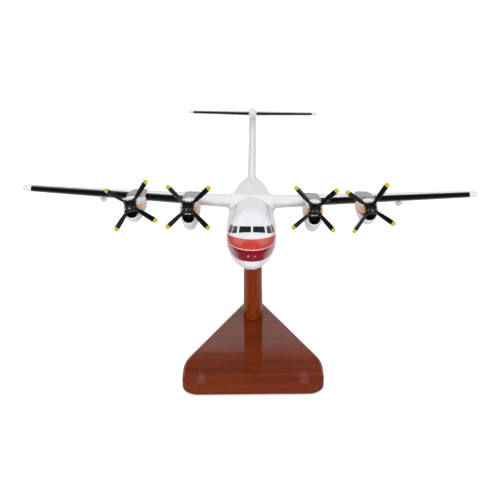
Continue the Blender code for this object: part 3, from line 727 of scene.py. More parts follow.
def mahogany(name, grain, deep, warm, across, coat):
    """Stained mahogany under thick gloss lacquer. grain is the fibres' axis: 0 x, 1 y, 2 z."""
    g = Material(name)
    long = fibres(grain, along=0.018, across=across)
    warp = g.noise(scale=0.02, detail=2.0)
    moved = g.vector("ADD", g.mm, g.vector("SCALE", (1.0, 1.0, 1.0), warp * 9.0))
    broad = g.noise(scale=0.30, detail=4.0, rough=0.55, distort=0.3, stretch=long, at=moved)
    fine = g.noise(scale=1.6, detail=4.0, rough=0.6, stretch=long, at=moved)
    pore = g.noise(scale=1.0, detail=2.0, stretch=fibres(grain, along=0.22, across=2.6),
                   at=moved)
    pore = g.span(pore, over=(0.64, 0.72))
    color = g.mix(g.span(broad, over=(0.32, 0.68), smooth=True), deep, warm)
    color = g.mix(g.span(fine, over=(0.35, 0.7), to=(0.0, 0.30)), color, shade(deep, 0.66))
    color = g.mix(pore * 0.30, color, shade(deep, 0.4))
    # paler where the edges are rubbed
    pointed = g.node("ShaderNodeNewGeometry", output="Pointiness")
    color = g.mix(g.span(pointed, over=(0.53, 0.62), to=(0.0, 0.35)), color, shade(warm, 1.7))
    slow = g.noise(scale=0.05, detail=2.0)
    peel = g.noise(scale=0.6, detail=2.0)
    smear = g.noise(scale=0.03, rough=0.6)
    return g.set(color=color, rough=g.span(fine, over=(0.3, 0.7), to=(0.4, 0.55)), spec=0.03,
                 coat=coat, coat_rough=g.span(smear, over=(0.35, 0.7), to=(0.035, 0.075)),
                 normal=g.bump(fine * 0.02 + pore * -0.03, strength=0.6),
                 coat_normal=g.bump(slow * 0.022 + peel * 0.003, strength=0.5))


def felt_material():
    g = Material("felt")
    fibre = g.noise(scale=1.9, detail=6.0, rough=0.8, distort=1.5)
    matted = g.span(g.noise(scale=0.28), over=(0.4, 0.7), to=(0.0, 0.4))
    color = g.mix(g.span(fibre, over=(0.3, 0.7)), (0.012, 0.075, 0.030), (0.035, 0.16, 0.07))
    color = g.mix(matted, color, (0.02, 0.085, 0.04))
    return g.set(color=color, rough=0.95, sheen=0.6, sheen_rough=0.5,
                 sheen_tint=(0.3, 0.6, 0.4), normal=g.bump(fibre * 0.35, strength=1.0))


def metal_material(name, light, dark, rough):
    """Metal with turning marks drawn out along the aeroplane's y."""
    g = Material(name)
    lines = g.noise(scale=1.6, detail=4.0, rough=0.6, stretch=(1.8, 0.25, 1.8), at=g.air)
    stain = g.span(g.noise(scale=0.6), over=(0.58, 0.75), to=(0.0, 0.5))
    color = g.mix(g.span(lines, over=(0.3, 0.7)), light, dark)
    color = g.mix(stain, color, shade(dark, 0.5))
    return g.set(color=color, metal=1.0,
                 rough=g.span(lines, over=(0.3, 0.7), to=(rough - 0.06, rough + 0.1)),
                 normal=g.bump(lines * 0.02, strength=1.0))


def dowel_material(name, axis):
    """Bare beech with patches of glue."""
    g = Material(name)
    rings = g.noise(scale=1.2, detail=5.0, rough=0.6, distort=0.4,
                    stretch=fibres(axis, along=0.08, across=1.4))
    color = g.mix(g.span(rings, over=(0.3, 0.7)), (0.56, 0.38, 0.21), (0.40, 0.25, 0.12))
    glue = g.span(g.noise(scale=0.25, detail=2.0), over=(0.56, 0.64))
    color = g.mix(glue * 0.35, color, (0.70, 0.62, 0.42))
    return g.set(color=color, rough=g.lerp(glue, 0.7, 0.35),
                 normal=g.bump(rings * 0.08, strength=1.0))


def lens_material(name, deep, pale):
    g = Material(name)
    cloud = g.noise(scale=1.3)
    # colour turns paler towards grazing angles, a painted sheen; cloud gives an uneven tone
    grazing_sheen = g.node("ShaderNodeLayerWeight", {"Blend": 0.35}, output="Facing")
    color = g.mix(grazing_sheen * 0.6 + cloud * 0.3, deep, pale)
    return g.set(color=color, rough=g.span(cloud, over=(0.3, 0.7), to=(0.06, 0.16)), coat=1.0,
                 coat_rough=0.03, normal=g.bump(cloud * 0.05, strength=1.0))


def pin_material():
    """Black paint on the pins' domed heads."""
    g = Material("prop_pin_paint")
    grime = g.noise(scale=1.5, detail=4.0, rough=0.6)
    color = g.mix(g.span(grime, over=(0.35, 0.7)), BLACK, (0.03, 0.03, 0.033))
    return g.set(color=color, rough=g.span(grime, over=(0.3, 0.7), to=(0.12, 0.26)), coat=0.7,
                 coat_rough=0.05, normal=g.bump(grime * 0.03, strength=1.0))


def intake_material():
    """Flat black inside the intakes and outlets, with brush drag."""
    g = Material("intake_black")
    drag = g.noise(scale=0.9, detail=4.0, rough=0.65, stretch=(1.0, 0.3, 1.0))
    color = g.mix(g.span(drag, over=(0.35, 0.7)), (0.004, 0.004, 0.0045),
                  (0.012, 0.011, 0.011))
    return g.set(color=color, rough=g.span(drag, over=(0.3, 0.7), to=(0.55, 0.8)), spec=0.2,
                 normal=g.bump(drag * 0.05, strength=1.0))


M_FUSELAGE = lacquer("white_lacquer_livery", fuselage_paint)
M_WHITE = lacquer("white_lacquer_plain")
M_WING = lacquer("white_lacquer_wing", wing_paint)
M_TAIL = lacquer("white_lacquer_tailplane", tail_paint)
M_FIN = lacquer("white_lacquer_fin", fin_paint)
M_HUB = black_lacquer("black_lacquer_hub")
M_BLADE = black_lacquer("black_lacquer_blade", tip=True)
M_MOUTH = intake_material()
M_BASE = mahogany("mahogany_base", grain=0, deep=(0.158, 0.0225, 0.0050),
                  warm=(0.216, 0.0355, 0.0075), across=0.30, coat=0.9)
M_POST = mahogany("mahogany_post", grain=2, deep=(0.210, 0.0330, 0.0050),
                  warm=(0.315, 0.0600, 0.0098), across=0.5, coat=0.75)
M_FELT = felt_material()
M_STEEL = metal_material("steel_turned", light=(0.56, 0.56, 0.58), dark=(0.42, 0.42, 0.44),
                         rough=0.28)
M_BRASS = metal_material("brass_turned", light=(0.78, 0.56, 0.22), dark=(0.60, 0.41, 0.14),
                         rough=0.26)
M_DOWEL_X = dowel_material("dowel_beech_x", axis=0)
M_DOWEL_Z = dowel_material("dowel_beech_z", axis=2)
M_RED = lens_material("red_lens", deep=(0.16, 0.004, 0.006), pale=(0.50, 0.05, 0.06))
M_GREEN = lens_material("green_lens", deep=(0.03, 0.07, 0.05), pale=(0.28, 0.38, 0.33))
M_PIN = pin_material()


# ================================================================ stand
def base_outline(inset):
    """Rounded-apex outline, clockwise from the apex at +Y; arcs shrink with the inset."""
    def arc(centre, radius, start, end, steps):
        angles = [start + (end - start) * i / steps for i in range(steps + 1)]
        return [(centre[0] + radius * cos(t), centre[1] + radius * sin(t)) for t in angles]

    def between(start, end, steps):
        return [(start[0] + (end[0] - start[0]) * i / steps,
                 start[1] + (end[1] - start[1]) * i / steps) for i in range(1, steps)]

    slope = BASE_SLOPE
    apex = (0.0, BASE_APEX - BASE_R_APEX / sin(slope))
    bend_x = BASE_HALF_W - BASE_R_BEND
    bend = (bend_x, BASE_APEX - (BASE_R_BEND + bend_x * cos(slope)) / sin(slope))
    corner = (BASE_HALF_W - BASE_R_CORNER, BASE_FRONT + BASE_R_CORNER)
    r_corner = BASE_R_CORNER - inset
    apex_arc = arc(apex, BASE_R_APEX - inset, pi / 2, slope, 25)
    bend_arc = arc(bend, BASE_R_BEND - inset, slope, 0.0, 30)
    corner_arc = arc(corner, r_corner, 0.0, -pi / 2, 30)
    front = corner_arc[-1]
    points = apex_arc + between(apex_arc[-1], bend_arc[0], 16) + bend_arc
    points += between(bend_arc[-1], (corner[0] + r_corner, corner[1]), 5) + corner_arc
    points += between(front, (0.0, front[1]), 10)
    right = [p for p in points if p[0] > 1e-6]
    left = [(-x, y) for x, y in reversed(right)]
    return [(0.0, apex[1] + BASE_R_APEX - inset)] + right + [(0.0, front[1])] + left


def base_ring(inset, z):
    return np.array([(x, y, z) for x, y in base_outline(inset)])


def make_base():
    r_top, r_low = 2.6, 1.2  # edge roundings
    rings = []
    for t in range(0, 91, 15):
        rings.append(base_ring(r_low * (1 - sin(radians(t))),
                               BASE_BOTTOM + r_low * (1 - cos(radians(t)))))
    rings += [base_ring(0.0, BASE_BOTTOM + BASE_T * part) for part in (0.3, 0.5, 0.7)]
    for t in range(0, 91, 9):
        rings.append(base_ring(r_top * (1 - cos(radians(t))),
                               BASE_TOP - r_top + r_top * sin(radians(t))))
    rings += [base_ring(r_top + inset, BASE_TOP) for inset in (0.6, 1.6)]
    base = build("base_block", shell(rings), M_BASE, crease=50)
    screw_hole = turned([(0, -1), (4.6, -1), (4.6, 5.0), (2.3, 7.6), (2.3, 30), (0, 30)],
                        "z", 48, (0, POST_Y, 0))
    cut(base, screw_hole, crease=50)
    finish_piece(base, "stand_base")


# inset from the base's outline, z
FELT_EDGE = [(2.85, 0.0), (2.5, 0.3), (2.42, 0.9), (2.5, 1.25), (2.7, FELT_T)]


def make_felt():
    rings = [base_ring(inset, z) for inset, z in FELT_EDGE]
    felt = build("felt_sole", shell(rings), M_FELT, crease=60)
    finish_piece(felt, "felt_pad")


POST_PROFILE = [(BASE_TOP + 1.2, 11.5), (22, 11.4), (34, 11.1), (60, 10.8), (POST_TOP, 10.45)]
PEG_HOLE = rod(4.3, 91.7, 131.3, "z", 40, (0, POST_Y, 0))  # in the post and the fuselage


def make_post():
    """Turned post, its top hollowed to the fuselage's belly."""
    foot = BASE_TOP + GAP
    profile = [(10.7, foot), (11.2, foot + 0.25), (11.5, foot + 0.9)]
    profile += [(float(curve(POST_PROFILE, z)), z)
                for z in np.linspace(BASE_TOP + 2.4, POST_TOP, 50)]
    post = build("post_turned", turned(profile, "z", 96, (0, POST_Y, 0)), M_POST, crease=50)
    saddle = placed(shell([fuselage_ring(y, grow=0.05) for y in np.linspace(100, 250, 12)]))
    pilot = rod(2.3, 5, 45, "z", 36, (0, POST_Y, 0))
    cut(post, saddle, pilot, PEG_HOLE, crease=50)
    finish_piece(post, "stand_post")


# ================================================================ fuselage
# (y, value): top, bottom, half width and height of the widest line
TOP = [(0, -6), (1.2, -2.6), (3.5, -0.2), (8, 2.3), (18.6, 6.2), (31.4, 10.3), (42.2, 16.2),
       (52, 20.6), (62, 23.4), (76, 25.2), (92, 25.7), (300, 25.7), (330, 25.4), (360, 24.4),
       (390, 22.6), (415, 20.6), (433, 18.6), (446, 16.8)]
BOTTOM = [(0, -6), (1.2, -11.5), (3.5, -15.6), (8, -19.4), (18.6, -23.8), (29.7, -26.1),
          (41, -27.3), (56, -27.7), (76, -27.5), (265, -27.5), (290, -25.4), (320, -18.2),
          (350, -8.6), (380, 0.0), (408, 6.2), (430, 10.4), (446, 13.4)]
HALF_W = [(0, 0), (1.2, 6.2), (3.5, 9.8), (8, 13.2), (18.6, 17.8), (31.4, 21.6), (42.2, 23.8),
          (55.8, 25.0), (72, 25.6), (110, 26.3), (262, 26.3), (298, 25.3), (325, 22.9),
          (353, 19.2), (381, 14.4), (408, 9.2), (430, 5.0), (446, 1.9)]
MIDDLE = [(0, -6), (3.5, -5.6), (18.6, -3.4), (42, -1.0), (70, 0), (268, 0), (298, 1.4),
          (325, 4.4), (353, 8.4), (381, 11.6), (408, 13.9), (446, 15.2)]


def fuselage_ring(y, grow=0.0):
    top, bottom, half_width, middle = (
        float(curve(line, y, root=True)) for line in (TOP, BOTTOM, HALF_W, MIDDLE))
    return oval_ring(y, half_width + grow, top + grow, bottom - grow, middle, 128)


def make_fuselage():
    ys = np.concatenate([
        np.linspace(0.25, sqrt(22), 44) ** 2, np.linspace(22, 110, 60)[1:],
        np.linspace(110, 262, 26)[1:], np.linspace(262, 445.5, 64)[1:]])
    rings = [fuselage_ring(y) for y in ys]
    end = rings[-1]
    centre = end.mean(0)
    cap = 2.4
    for part in (0.35, 0.65, 0.85):
        size = sqrt(1 - part * part)
        rings.append(centre + (end - centre) * [size, 0, size] + [0, cap * part, 0])
    solid = shell(rings, (0, 0, -6), centre + [0, cap, 0])
    return build("fuselage_shell", placed(solid), M_FUSELAGE)


# ================================================================ wing
def wing_at(x):
    """Leading edge, height, chord and thickness at a place along the span."""
    part = (abs(x) - WING_ROOT_X) / (SEMI_SPAN - WING_ROOT_X)
    return (WING_LE + WING_SWEEP * part, WING_Z_ROOT + WING_RISE * (abs(x) - WING_ROOT_X),
            WING_CHORD - WING_TAPER * part, WING_T_ROOT + (WING_T_TIP - WING_T_ROOT) * part)


def wing_ring(x, count=30, offset=0.0, shrink=1.0, slim=1.0):
    leading, height, chord, thick = wing_at(x)
    loop = aerofoil(chord * shrink, thick * slim, count, 0.004, offset)
    aft, up = loop[:, 0], loop[:, 1]
    return np.stack([np.full(len(loop), x), leading + chord * (1 - shrink) * 0.55 + aft,
                     height + up - WING_DROOP * aft], -1)


def wing_panel(side, offset=0.0, count=30):
    """One wing in the frame, with a rounded tip; side is -1 starboard, 1 port."""
    tip = 6.0
    inner = np.concatenate([[WING_ROOT_X], np.linspace(34, SEMI_SPAN - tip, 60)])
    stations = [(x, 1.0, 1.0) for x in inner]
    for part in np.linspace(0.12, 1.0, 9):
        size = round_off(part)
        stations.append((SEMI_SPAN - 6.0 + tip * part, 0.72 + 0.28 * size ** 0.8,
                         0.36 + 0.64 * size ** 0.9))
    rings = []
    for x, shrink, slim in stations:
        ring = wing_ring(x, count, offset, shrink, slim)
        ring[:, 0] *= side
        rings.append(ring)
    return placed(shell(rings))


HUMP = [(0, 1.1), (14, 1.0), (24, 0.55), (31, 0.0)]  # x, swelling of the centre section
FLARE_X, FLARE_R = 24.4, 6.6  # start and radius of the blend at the fuselage's side
CENTRE_XS = np.concatenate([np.linspace(0, 20, 9), np.linspace(21, 31, 31)])
CENTRE_XS = np.concatenate([-CENTRE_XS[::-1], CENTRE_XS[1:]])


def centre_ring(x, offset=0.0, flare=True):
    swell = float(curve(HUMP, abs(x)))
    ring = wing_ring(WING_ROOT_X, offset=0.25 * swell + offset, slim=1.0 + 0.09 * swell)
    ring[:, 0] = x
    ring[:, 1] -= 1.5 * swell
    ring[:, 2] += 0.4 * swell
    if not flare:
        return ring
    # concave blend into the fuselage's side, strongest underneath and at the two edges
    depth = np.clip(abs(x) - FLARE_X, 0, FLARE_R)
    grow = FLARE_R - sqrt(max(0.0, FLARE_R * FLARE_R - (FLARE_R - depth) ** 2))
    normal = normals(ring[:, 1:])
    up = normal[:, 1]
    weight = np.where(up > 0, 0.10 + 0.55 * (1 - up) ** 1.5, 1.0)
    if abs(x) < FLARE_X:
        weight = weight * np.where(up > -0.2, 0.55 + 0.45 * (abs(x) / FLARE_X) ** 2, 1.0)
    ring[:, 1:] += normal * (grow * weight)[:, None]
    return ring


def make_centre(fuselage):
    """Centre section, let into a pocket in the fuselage."""
    solid = shell([centre_ring(x) for x in CENTRE_XS])
    centre = build("wing_centre_fairing", placed(solid), M_WHITE)
    pocket = shell([centre_ring(x, -0.25, flare=False)
                    for x in np.concatenate([[-33], CENTRE_XS, [33]])])
    cut(fuselage, placed(pocket), PEG_HOLE)
    return centre


def make_wing(word, side, centre):
    wing = build("wing_panel_" + word, wing_panel(side), M_WING)
    start, end = sorted((side * 15.7, side * 54.3))
    bore = rod(2.8, start, end, "x", 32, (0, WING_LE + 24, WING_Z_ROOT), air)
    cut(wing, bore)
    if side < 0:
        cut(centre, bore)
    finish_piece(wing, "wing_" + word)


FAIRING_X, FAIRING_START, FAIRING_END = 172.0, 184.0, 233.0
# y, half width, depth of the bottom below the wing's middle
FAIRING = [(FAIRING_START, 0.0, 4.2), (186.5, 1.7, 6.4), (192, 2.9, 9.0), (200, 3.6, 11.6),
           (209, 3.7, 12.8), (218, 3.1, 12.0), (226, 2.0, 9.6), (231, 1.0, 7.4),
           (FAIRING_END, 0.0, 5.6)]


def make_flap_fairing(word, side):
    height = wing_at(FAIRING_X)[1]
    rows = [(y, half_width, height - depth) for y, half_width, depth in FAIRING]
    roof = [(184, height - 4.2), (187, height - 1.0), (230, height - 1.0), (233, height - 5.6)]
    ys = np.concatenate([FAIRING_START + np.linspace(0.2, sqrt(8), 10) ** 2,
                         np.linspace(193, 230, 26),
                         FAIRING_END - np.linspace(sqrt(2.5), 0.2, 8) ** 2])
    rings = []
    for y in ys:
        half_width, bottom = station(rows, y)
        top = min(height - 1.0, float(curve(roof, y)))
        middle = max(min(height - 5.0, top - 0.1), bottom + 0.1)
        rings.append(oval_ring(y, half_width, max(top, bottom + 0.2), bottom, middle, 40))
    solid = shell(rings, (0, FAIRING_START, height - 4.2), (0, FAIRING_END, height - 5.6))
    solid = placed(solid, lambda points: air(points + [side * FAIRING_X, 0, 0]))
    fairing = build("flap_track_" + word, solid, M_WHITE, crease=50)
    cut(fairing, wing_panel(side, offset=-0.15), crease=50)
    finish_piece(fairing, "flap_fairing_" + word)


def make_tip_lamp(word, side):
    leading, height, _, _ = wing_at(SEMI_SPAN)
    y, z = leading + 12.5, height - 0.3
    angle = 2 * pi * np.arange(36) / 36
    rings = []
    for t in np.linspace(0, 1.5, 12):
        x = side * (SEMI_SPAN - 0.35 + 2.1 * sin(t))
        rings.append(np.stack([np.full(36, x), y + 4.6 * cos(t) * np.cos(angle),
                               z + 1.15 * cos(t) ** 0.8 * np.sin(angle)], -1))
    solid = shell(rings, None, (side * (SEMI_SPAN + 1.76), y, z))
    material, slot = (M_RED, "red_lens") if side > 0 else (M_GREEN, "green_lens")
    lamp = build("tip_lamp_" + word, placed(solid), material, crease=60)
    finish_piece(lamp, "nav_light_" + word)


# ================================================================ engines
def nacelle_solid(rows):
    lip_y, lip_length = 5.6, 1.4
    ys = np.concatenate([np.linspace(4.2, lip_y, 6), np.linspace(6.2, 20, 16),
                         np.linspace(22, rows[-1][0], 44)])
    rings = []
    for y in ys:
        half_width, top, bottom, middle = station(rows, y)
        if y < lip_y:  # rounded lip
            inset = 1 - round_off((lip_y - y) / lip_length)
            half_width, top, bottom, _ = station(rows, lip_y)
            half_width, top, bottom = half_width - inset, top - inset * 0.8, bottom + inset * 1.6
        rings.append(oval_ring(y, half_width, top, bottom, middle, 96, 3.0, 2.2))
    end = rings[-1]
    centre = end.mean(0)
    cap = 1.6
    for part in (0.4, 0.7, 0.9):
        size = sqrt(1 - part * part)
        rings.append(centre + (end - centre) * [size, 1, size] + [0, cap * part, 0])
    return shell(rings, None, centre + [0, cap, 0])


def mouth_solid(kind):
    """The chin intake: a rounded slot under the shaft line that narrows as it goes in."""
    top, lip = kind.mouth_top, kind.rows[0][3]
    middle = (top + lip + 1.5) / 2
    rings = []
    for y, size in ((0.0, 1.0), (4.0, 1.0), (5.0, 0.97), (9.0, 0.86), (12.5, 0.74)):
        rings.append(oval_ring(y, 5.6 * size, middle + (top - middle) * size,
                               middle + (lip + 1.2 - middle) * size, middle + 0.6,
                               48, 2.6, 2.2))
    return shell(rings)


def make_nacelle(word, centre, kind, mount, wing_slot):
    material = lacquer("white_lacquer_nacelle_" + word, nacelle_paint(centre, kind), coat=0.15)
    solid = placed(nacelle_solid(kind.rows), mount)
    nacelle = build("nacelle_shell_" + word, solid, material)
    cut(nacelle, placed(mouth_solid(kind), mount), lining=M_MOUTH)
    bush_hole = turned([(2.2, 0), (2.2, 9.6), (1.3, 9.6), (1.3, 16.3)], "y", 36, place=mount)
    cut(nacelle, wing_slot, bush_hole)
    finish_piece(nacelle, "nacelle_" + word)


# y, half width, top
DUCT = [(19.5, 7.2, 7.7), (23, 8.0, 8.0), (32, 8.5, 8.1), (46, 8.6, 7.7), (58, 8.6, 7.1),
        (70, 8.5, 6.5), (84, 8.3, 5.9)]
DUCT_FLOOR = 3.2


def make_duct(word, engine_y, kind, mount, wing_slot):
    """Crowned metal box with soft shoulders, a rolled front edge and a hollow outlet."""
    roll_end, roll_length, taper_y = 21.1, 1.6, 83.1
    ys = np.concatenate([19.5 + roll_length * (1 - np.cos(np.linspace(0, pi / 2, 7))),
                         np.linspace(22, 83, 40), [83.6, 84.0]])
    rings = []
    for y in ys:
        half_width, top = station(DUCT, y)
        top += kind.duct_rise
        inset = 0.0
        if y < roll_end:
            inset = 1.3 * (1 - round_off((roll_end - y) / roll_length))
        if y > taper_y:
            inset = 0.35 * (y - taper_y)
        rings.append(oval_ring(y, half_width - inset, top - inset, DUCT_FLOOR - 1.5,
                               DUCT_FLOOR + 1.2, 96, 5.0, 6.0))
    duct = build("duct_shell_" + word, placed(shell(rings), mount),
                 silver_material("silver_paint_" + word, engine_y))
    outlet = shell([oval_ring(y, 7.2, 5.3 + kind.duct_rise, DUCT_FLOOR + 0.6 - 2.0,
                              DUCT_FLOOR + 0.6, 48, 4.0, 5.0) for y in (75.0, 80.0, 90.0)])
    cut(duct, placed(outlet, mount), lining=M_MOUTH)
    cut(duct, wing_slot)
    finish_piece(duct, "exhaust_duct_" + word)


def make_pin(word, engine_y, mount):
    """Steel pin with a domed head, painted black."""
    radius, dome_y, dome_h = 2.05, -5.9, 1.4
    profile = [(0.0, -7.3)]
    profile += [(radius * sin(radians(t)), dome_y - dome_h * cos(radians(t)))
                for t in (14, 28, 42, 56, 70, 84)]
    profile += [(radius, -5.65), (1.0, -5.6), (1.0, 15.0), (0.0, 16.0)]
    pin = build("pin_turned_" + word, turned(profile, "y", 48, place=mount), M_STEEL, M_PIN,
                crease=45)
    for face in pin.data.polygons:
        centre = face.center * 1000
        aft = (centre.y - NOSE[1]) * cos(NOSE_UP) - (centre.z - NOSE[2]) * sin(NOSE_UP)
        if aft < engine_y - 5.4:
            face.material_index = 1
    finish_piece(pin, "prop_pin_" + word)


# radius, y along the shaft
HUB_PROFILE = [(0.0, 2.6), (5.3, 2.6), (5.75, 2.45), (6.0, 2.1), (HUB_R, 1.6), (HUB_R, -1.9),
               (6.02, -2.4), (5.8, -3.0), (5.45, -3.55), (5.0, -4.1), (4.45, -4.6),
               (3.8, -5.0), (3.1, -5.25), (2.4, -5.38), (0.0, -5.4)]
# radius, distance from the shaft
COLLAR_PROFILE = [(2.05, 3.4), (2.05, 5.9), (2.35, 6.05), (2.5, 6.4), (2.5, 7.3),
                  (2.35, 7.65), (2.0, 7.8), (1.75, 7.8)]
HUB_WIDEN = 1.06  # across the shaft, after cutting


def make_hub_pattern():
    """Barrel with a domed nose and four blade collars, in its own axes, copied for each hub."""
    hub = build("hub_proto", turned(HUB_PROFILE, "y", 80), M_HUB, crease=30)
    quarters = [pi / 2 * k for k in range(4)]
    collar = turned(COLLAR_PROFILE, "z", 40)
    cut(hub, *[placed(collar, lambda points, turn=turn: spun(points, turn))
               for turn in quarters], operation="UNION", crease=30)
    cut(hub, rod(1.25, -8, 5, "y", 32), crease=30)
    socket = rod(1.55, 4.1, 12, "z", 24)
    for turn in quarters:
        cut(hub, placed(socket, lambda points: spun(points, turn)), crease=30)
    points = np.array([v.co for v in hub.data.vertices]) * 1000.0
    points[:, [0, 2]] *= HUB_WIDEN
    return hub, points


# radius, chord, thickness, pitch in degrees
BLADE = [(4.4, 2.8, 2.8, 44), (6.9, 2.8, 2.8, 44), (8.4, 3.8, 2.1, 43), (12, 5.1, 1.6, 38),
         (20, 5.75, 1.3, 30), (28.5, 5.95, 1.1, 24), (PROP_R, 5.75, 0.95, 22)]


def blade_solid(count=36):
    """Blade along z with its chord near x, and per vertex (chordwise, thickness, radius)."""
    tip_length = 2.55
    tip_start = PROP_R - tip_length
    tips = [tip_start + tip_length * sin(t * pi / 2) for t in np.linspace(0.04, 0.985, 14)]
    radii = np.concatenate([np.linspace(4.4, 8.4, 9), np.linspace(9, 30.2, 30),
                            [r for r in tips if r > 30.3]])
    angle = 2 * pi * np.arange(count) / count
    rings, places = [], []
    for radius in radii:
        chord, thick, pitch = station(BLADE, radius)
        pitch = -radians(pitch)
        if radius > tip_start:  # round tip
            size = round_off((radius - tip_start) / 2.56)
            chord, thick = chord * size, max(0.25, thick * (0.35 + 0.65 * size))
        power = 0.9 if radius > 9 else 1.0
        wide = 0.5 * chord * np.sign(np.cos(angle)) * np.abs(np.cos(angle)) ** power
        deep = 0.5 * thick * np.sin(angle)
        if radius > 8:  # gently cambered face
            deep = deep - 0.10 * chord * (0.25 - (wide / max(chord, 1e-6)) ** 2)
        level = np.full(count, radius)
        rings.append(np.stack([wide * cos(pitch) - deep * sin(pitch),
                               wide * sin(pitch) + deep * cos(pitch), level], -1))
        places.append(np.stack([wide, deep, level], -1))
    solid = shell(rings, None, (0, 0, PROP_R))
    return solid, np.vstack([np.concatenate(places), [[0, 0, PROP_R]]])


def make_propeller(word, first, mount, hub_pattern, hub_points, blade, blade_places):
    """Hub and blades, which turn together."""
    body = "propeller_" + word
    mesh = hub_pattern.data.copy()
    mesh.name = "hub_turned_" + word
    points = mount(spun(hub_points, pi / 2 - radians(first))) * 0.001
    mesh.vertices.foreach_set("co", points.astype(np.float32).ravel())
    mesh.update()
    finish_piece(add("hub_turned_" + word, mesh), "prop_hub_" + word, body)
    for k in range(4):
        turn = pi / 2 - (radians(first) + k * pi / 2)
        solid = placed(blade, lambda points: mount(spun(points, turn)))
        obj = build(f"propblade_{word}_{k + 1}", solid, M_BLADE, crease=60)
        layer = obj.data.attributes.new("bl", "FLOAT_VECTOR", "POINT")
        layer.data.foreach_set("vector", blade_places.astype(np.float32).ravel())
        finish_piece(obj, f"blade_{word}_{k + 1}", body)


def make_engines():
    hub_pattern, hub_points = make_hub_pattern()
    blade, blade_places = blade_solid()
    for word, (*centre, first) in ENGINES.items():
        centre = tuple(centre)
        kind = INBOARD if "inboard" in word else OUTBOARD

        def mount(points):
            """Axes of the propeller's centre to the frame."""
            return air(points + np.array(centre))

        wing_slot = wing_panel(1 if centre[0] > 0 else -1, offset=-0.15, count=20)
        make_nacelle(word, centre, kind, mount, wing_slot)
        make_duct(word, centre[1], kind, mount, wing_slot)
        make_pin(word, centre[1], mount)
        make_propeller(word, first, mount, hub_pattern, hub_points, blade, blade_places)
    bpy.data.objects.remove(hub_pattern)


# ================================================================ tail
def fin_ring(z):
    part = (z - FIN_Z) / FIN_H
    leading, trailing = 338 + 50 * part, 440 + 6.5 * part
    if part < 0.28:  # the foot sweeps forward
        leading -= 14 * max(0.0, 1 - max(part, 0.0) / 0.28) ** 2
    loop = aerofoil(trailing - leading, 11.0 - 2.0 * part, 26)
    x, y = loop[:, 1].copy(), leading + loop[:, 0]
    # concave fillet onto the fuselage's top, fading aft
    fillet = 1.0
    top = curve(TOP, y, root=True) - 0.3
    depth = np.clip(z - top, 0, fillet)
    grow = fillet - np.sqrt(np.maximum(0, fillet * fillet - (fillet - depth) ** 2))
    grow = np.where(z < top + fillet, grow, 0.0)
    normal_y, normal_x = normals(np.stack([y, x], -1)).T
    sign = np.where(normal_x * x >= 0, 1.0, -1.0)
    fade = np.clip((446 - y) / 60, 0, 1)
    x = x + normal_x * sign * grow * fade * 0.75
    y = y + normal_y * sign * grow * np.where(normal_y * sign < 0, 1.0, 0.15)
    return np.stack([x, y, np.full(len(x), z)], -1)


def make_fin():
    zs = np.concatenate([np.linspace(9, 17, 5), np.linspace(18, 46, 40),
                         np.linspace(47.5, 103, 34)])
    fin = build("fin_blade", placed(shell([fin_ring(z) for z in zs])), M_FIN)
    cut(fin, rod(2.3, 3.7, 34.3, "z", 32, (0, 378, 0), air),
        rod(1.7, 87.7, 107.3, "z", 28, (0, 416, 0), air))
    finish_piece(fin, "fin")


# y, half width, reach below and above TAIL_Z, power of the upper half
BULLET = [(BULLET_Y, 0.0, 0.0, 0.0, 2.0), (367.5, 1.6, 1.7, 1.8, 2.0),
          (371, 3.0, 3.1, 3.4, 2.0), (377, 4.4, 4.5, 5.2, 1.8), (385, 5.3, 5.4, 7.8, 1.45),
          (391, 5.6, 5.8, 8.8, 1.35), (400, 5.7, 6.0, 7.6, 1.5), (412, 5.6, 5.9, 6.4, 1.8),
          (428, 4.7, 4.9, 5.0, 2.0), (442, 3.2, 3.4, 3.4, 2.0), (452, 1.7, 1.8, 1.8, 2.0),
          (LENGTH, 0.0, 0.0, 0.0, 2.0)]


def make_bullet():
    sizes = [(y - BULLET_Y, half_width, down, up) for y, half_width, down, up, _ in BULLET]
    ys = np.concatenate([BULLET_Y + np.linspace(0.25, sqrt(12), 22) ** 2,
                         np.linspace(379, 452, 60), np.linspace(453, 456.8, 8)])
    rings = []
    for y in ys:
        half_width, down, up = station(sizes, y - BULLET_Y, root=True)
        power = station(BULLET, y)[3]
        rings.append(oval_ring(y, half_width, TAIL_Z + up, TAIL_Z - down, TAIL_Z, 72, power))
    solid = shell(rings, (0, BULLET_Y, TAIL_Z), (0, LENGTH, TAIL_Z))
    bullet = build("tail_bullet_shell", placed(solid), M_WHITE, crease=55)
    finish_piece(bullet, "tail_bullet")


def make_tailplane(word, side):
    tip = 4.5
    stations = [(x, 1.0, 1.0) for x in np.linspace(TAIL_ROOT_X, TAIL_SEMI_SPAN - tip, 36)]
    for part in np.linspace(0.15, 1.0, 8):
        size = round_off(part)
        stations.append((TAIL_SEMI_SPAN - tip + tip * part, 0.74 + 0.26 * size,
                         0.34 + 0.66 * size))
    rings = []
    for x, shrink, slim in stations:
        part = x / TAIL_SEMI_SPAN
        leading, trailing = TAIL_LE + TAIL_SWEEP * part, TAIL_TE - TAIL_TE_SWEEP * part
        chord = trailing - leading
        loop = aerofoil(chord * shrink, (5.8 - 1.9 * part) * slim, 26)
        rings.append(np.stack([np.full(len(loop), side * x),
                               leading + chord * (1 - shrink) * 0.55 + loop[:, 0],
                               TAIL_Z + loop[:, 1]], -1))
    tail = build("tailplane_panel_" + word, placed(shell(rings)), M_TAIL)
    cut(tail, rod(1.7, -13.3, 13.3, "x", 28, (0, 403, TAIL_Z), air))
    finish_piece(tail, "tailplane_" + word)


# ================================================================ assembly
SIDES = (("starboard", -1), ("port", 1))

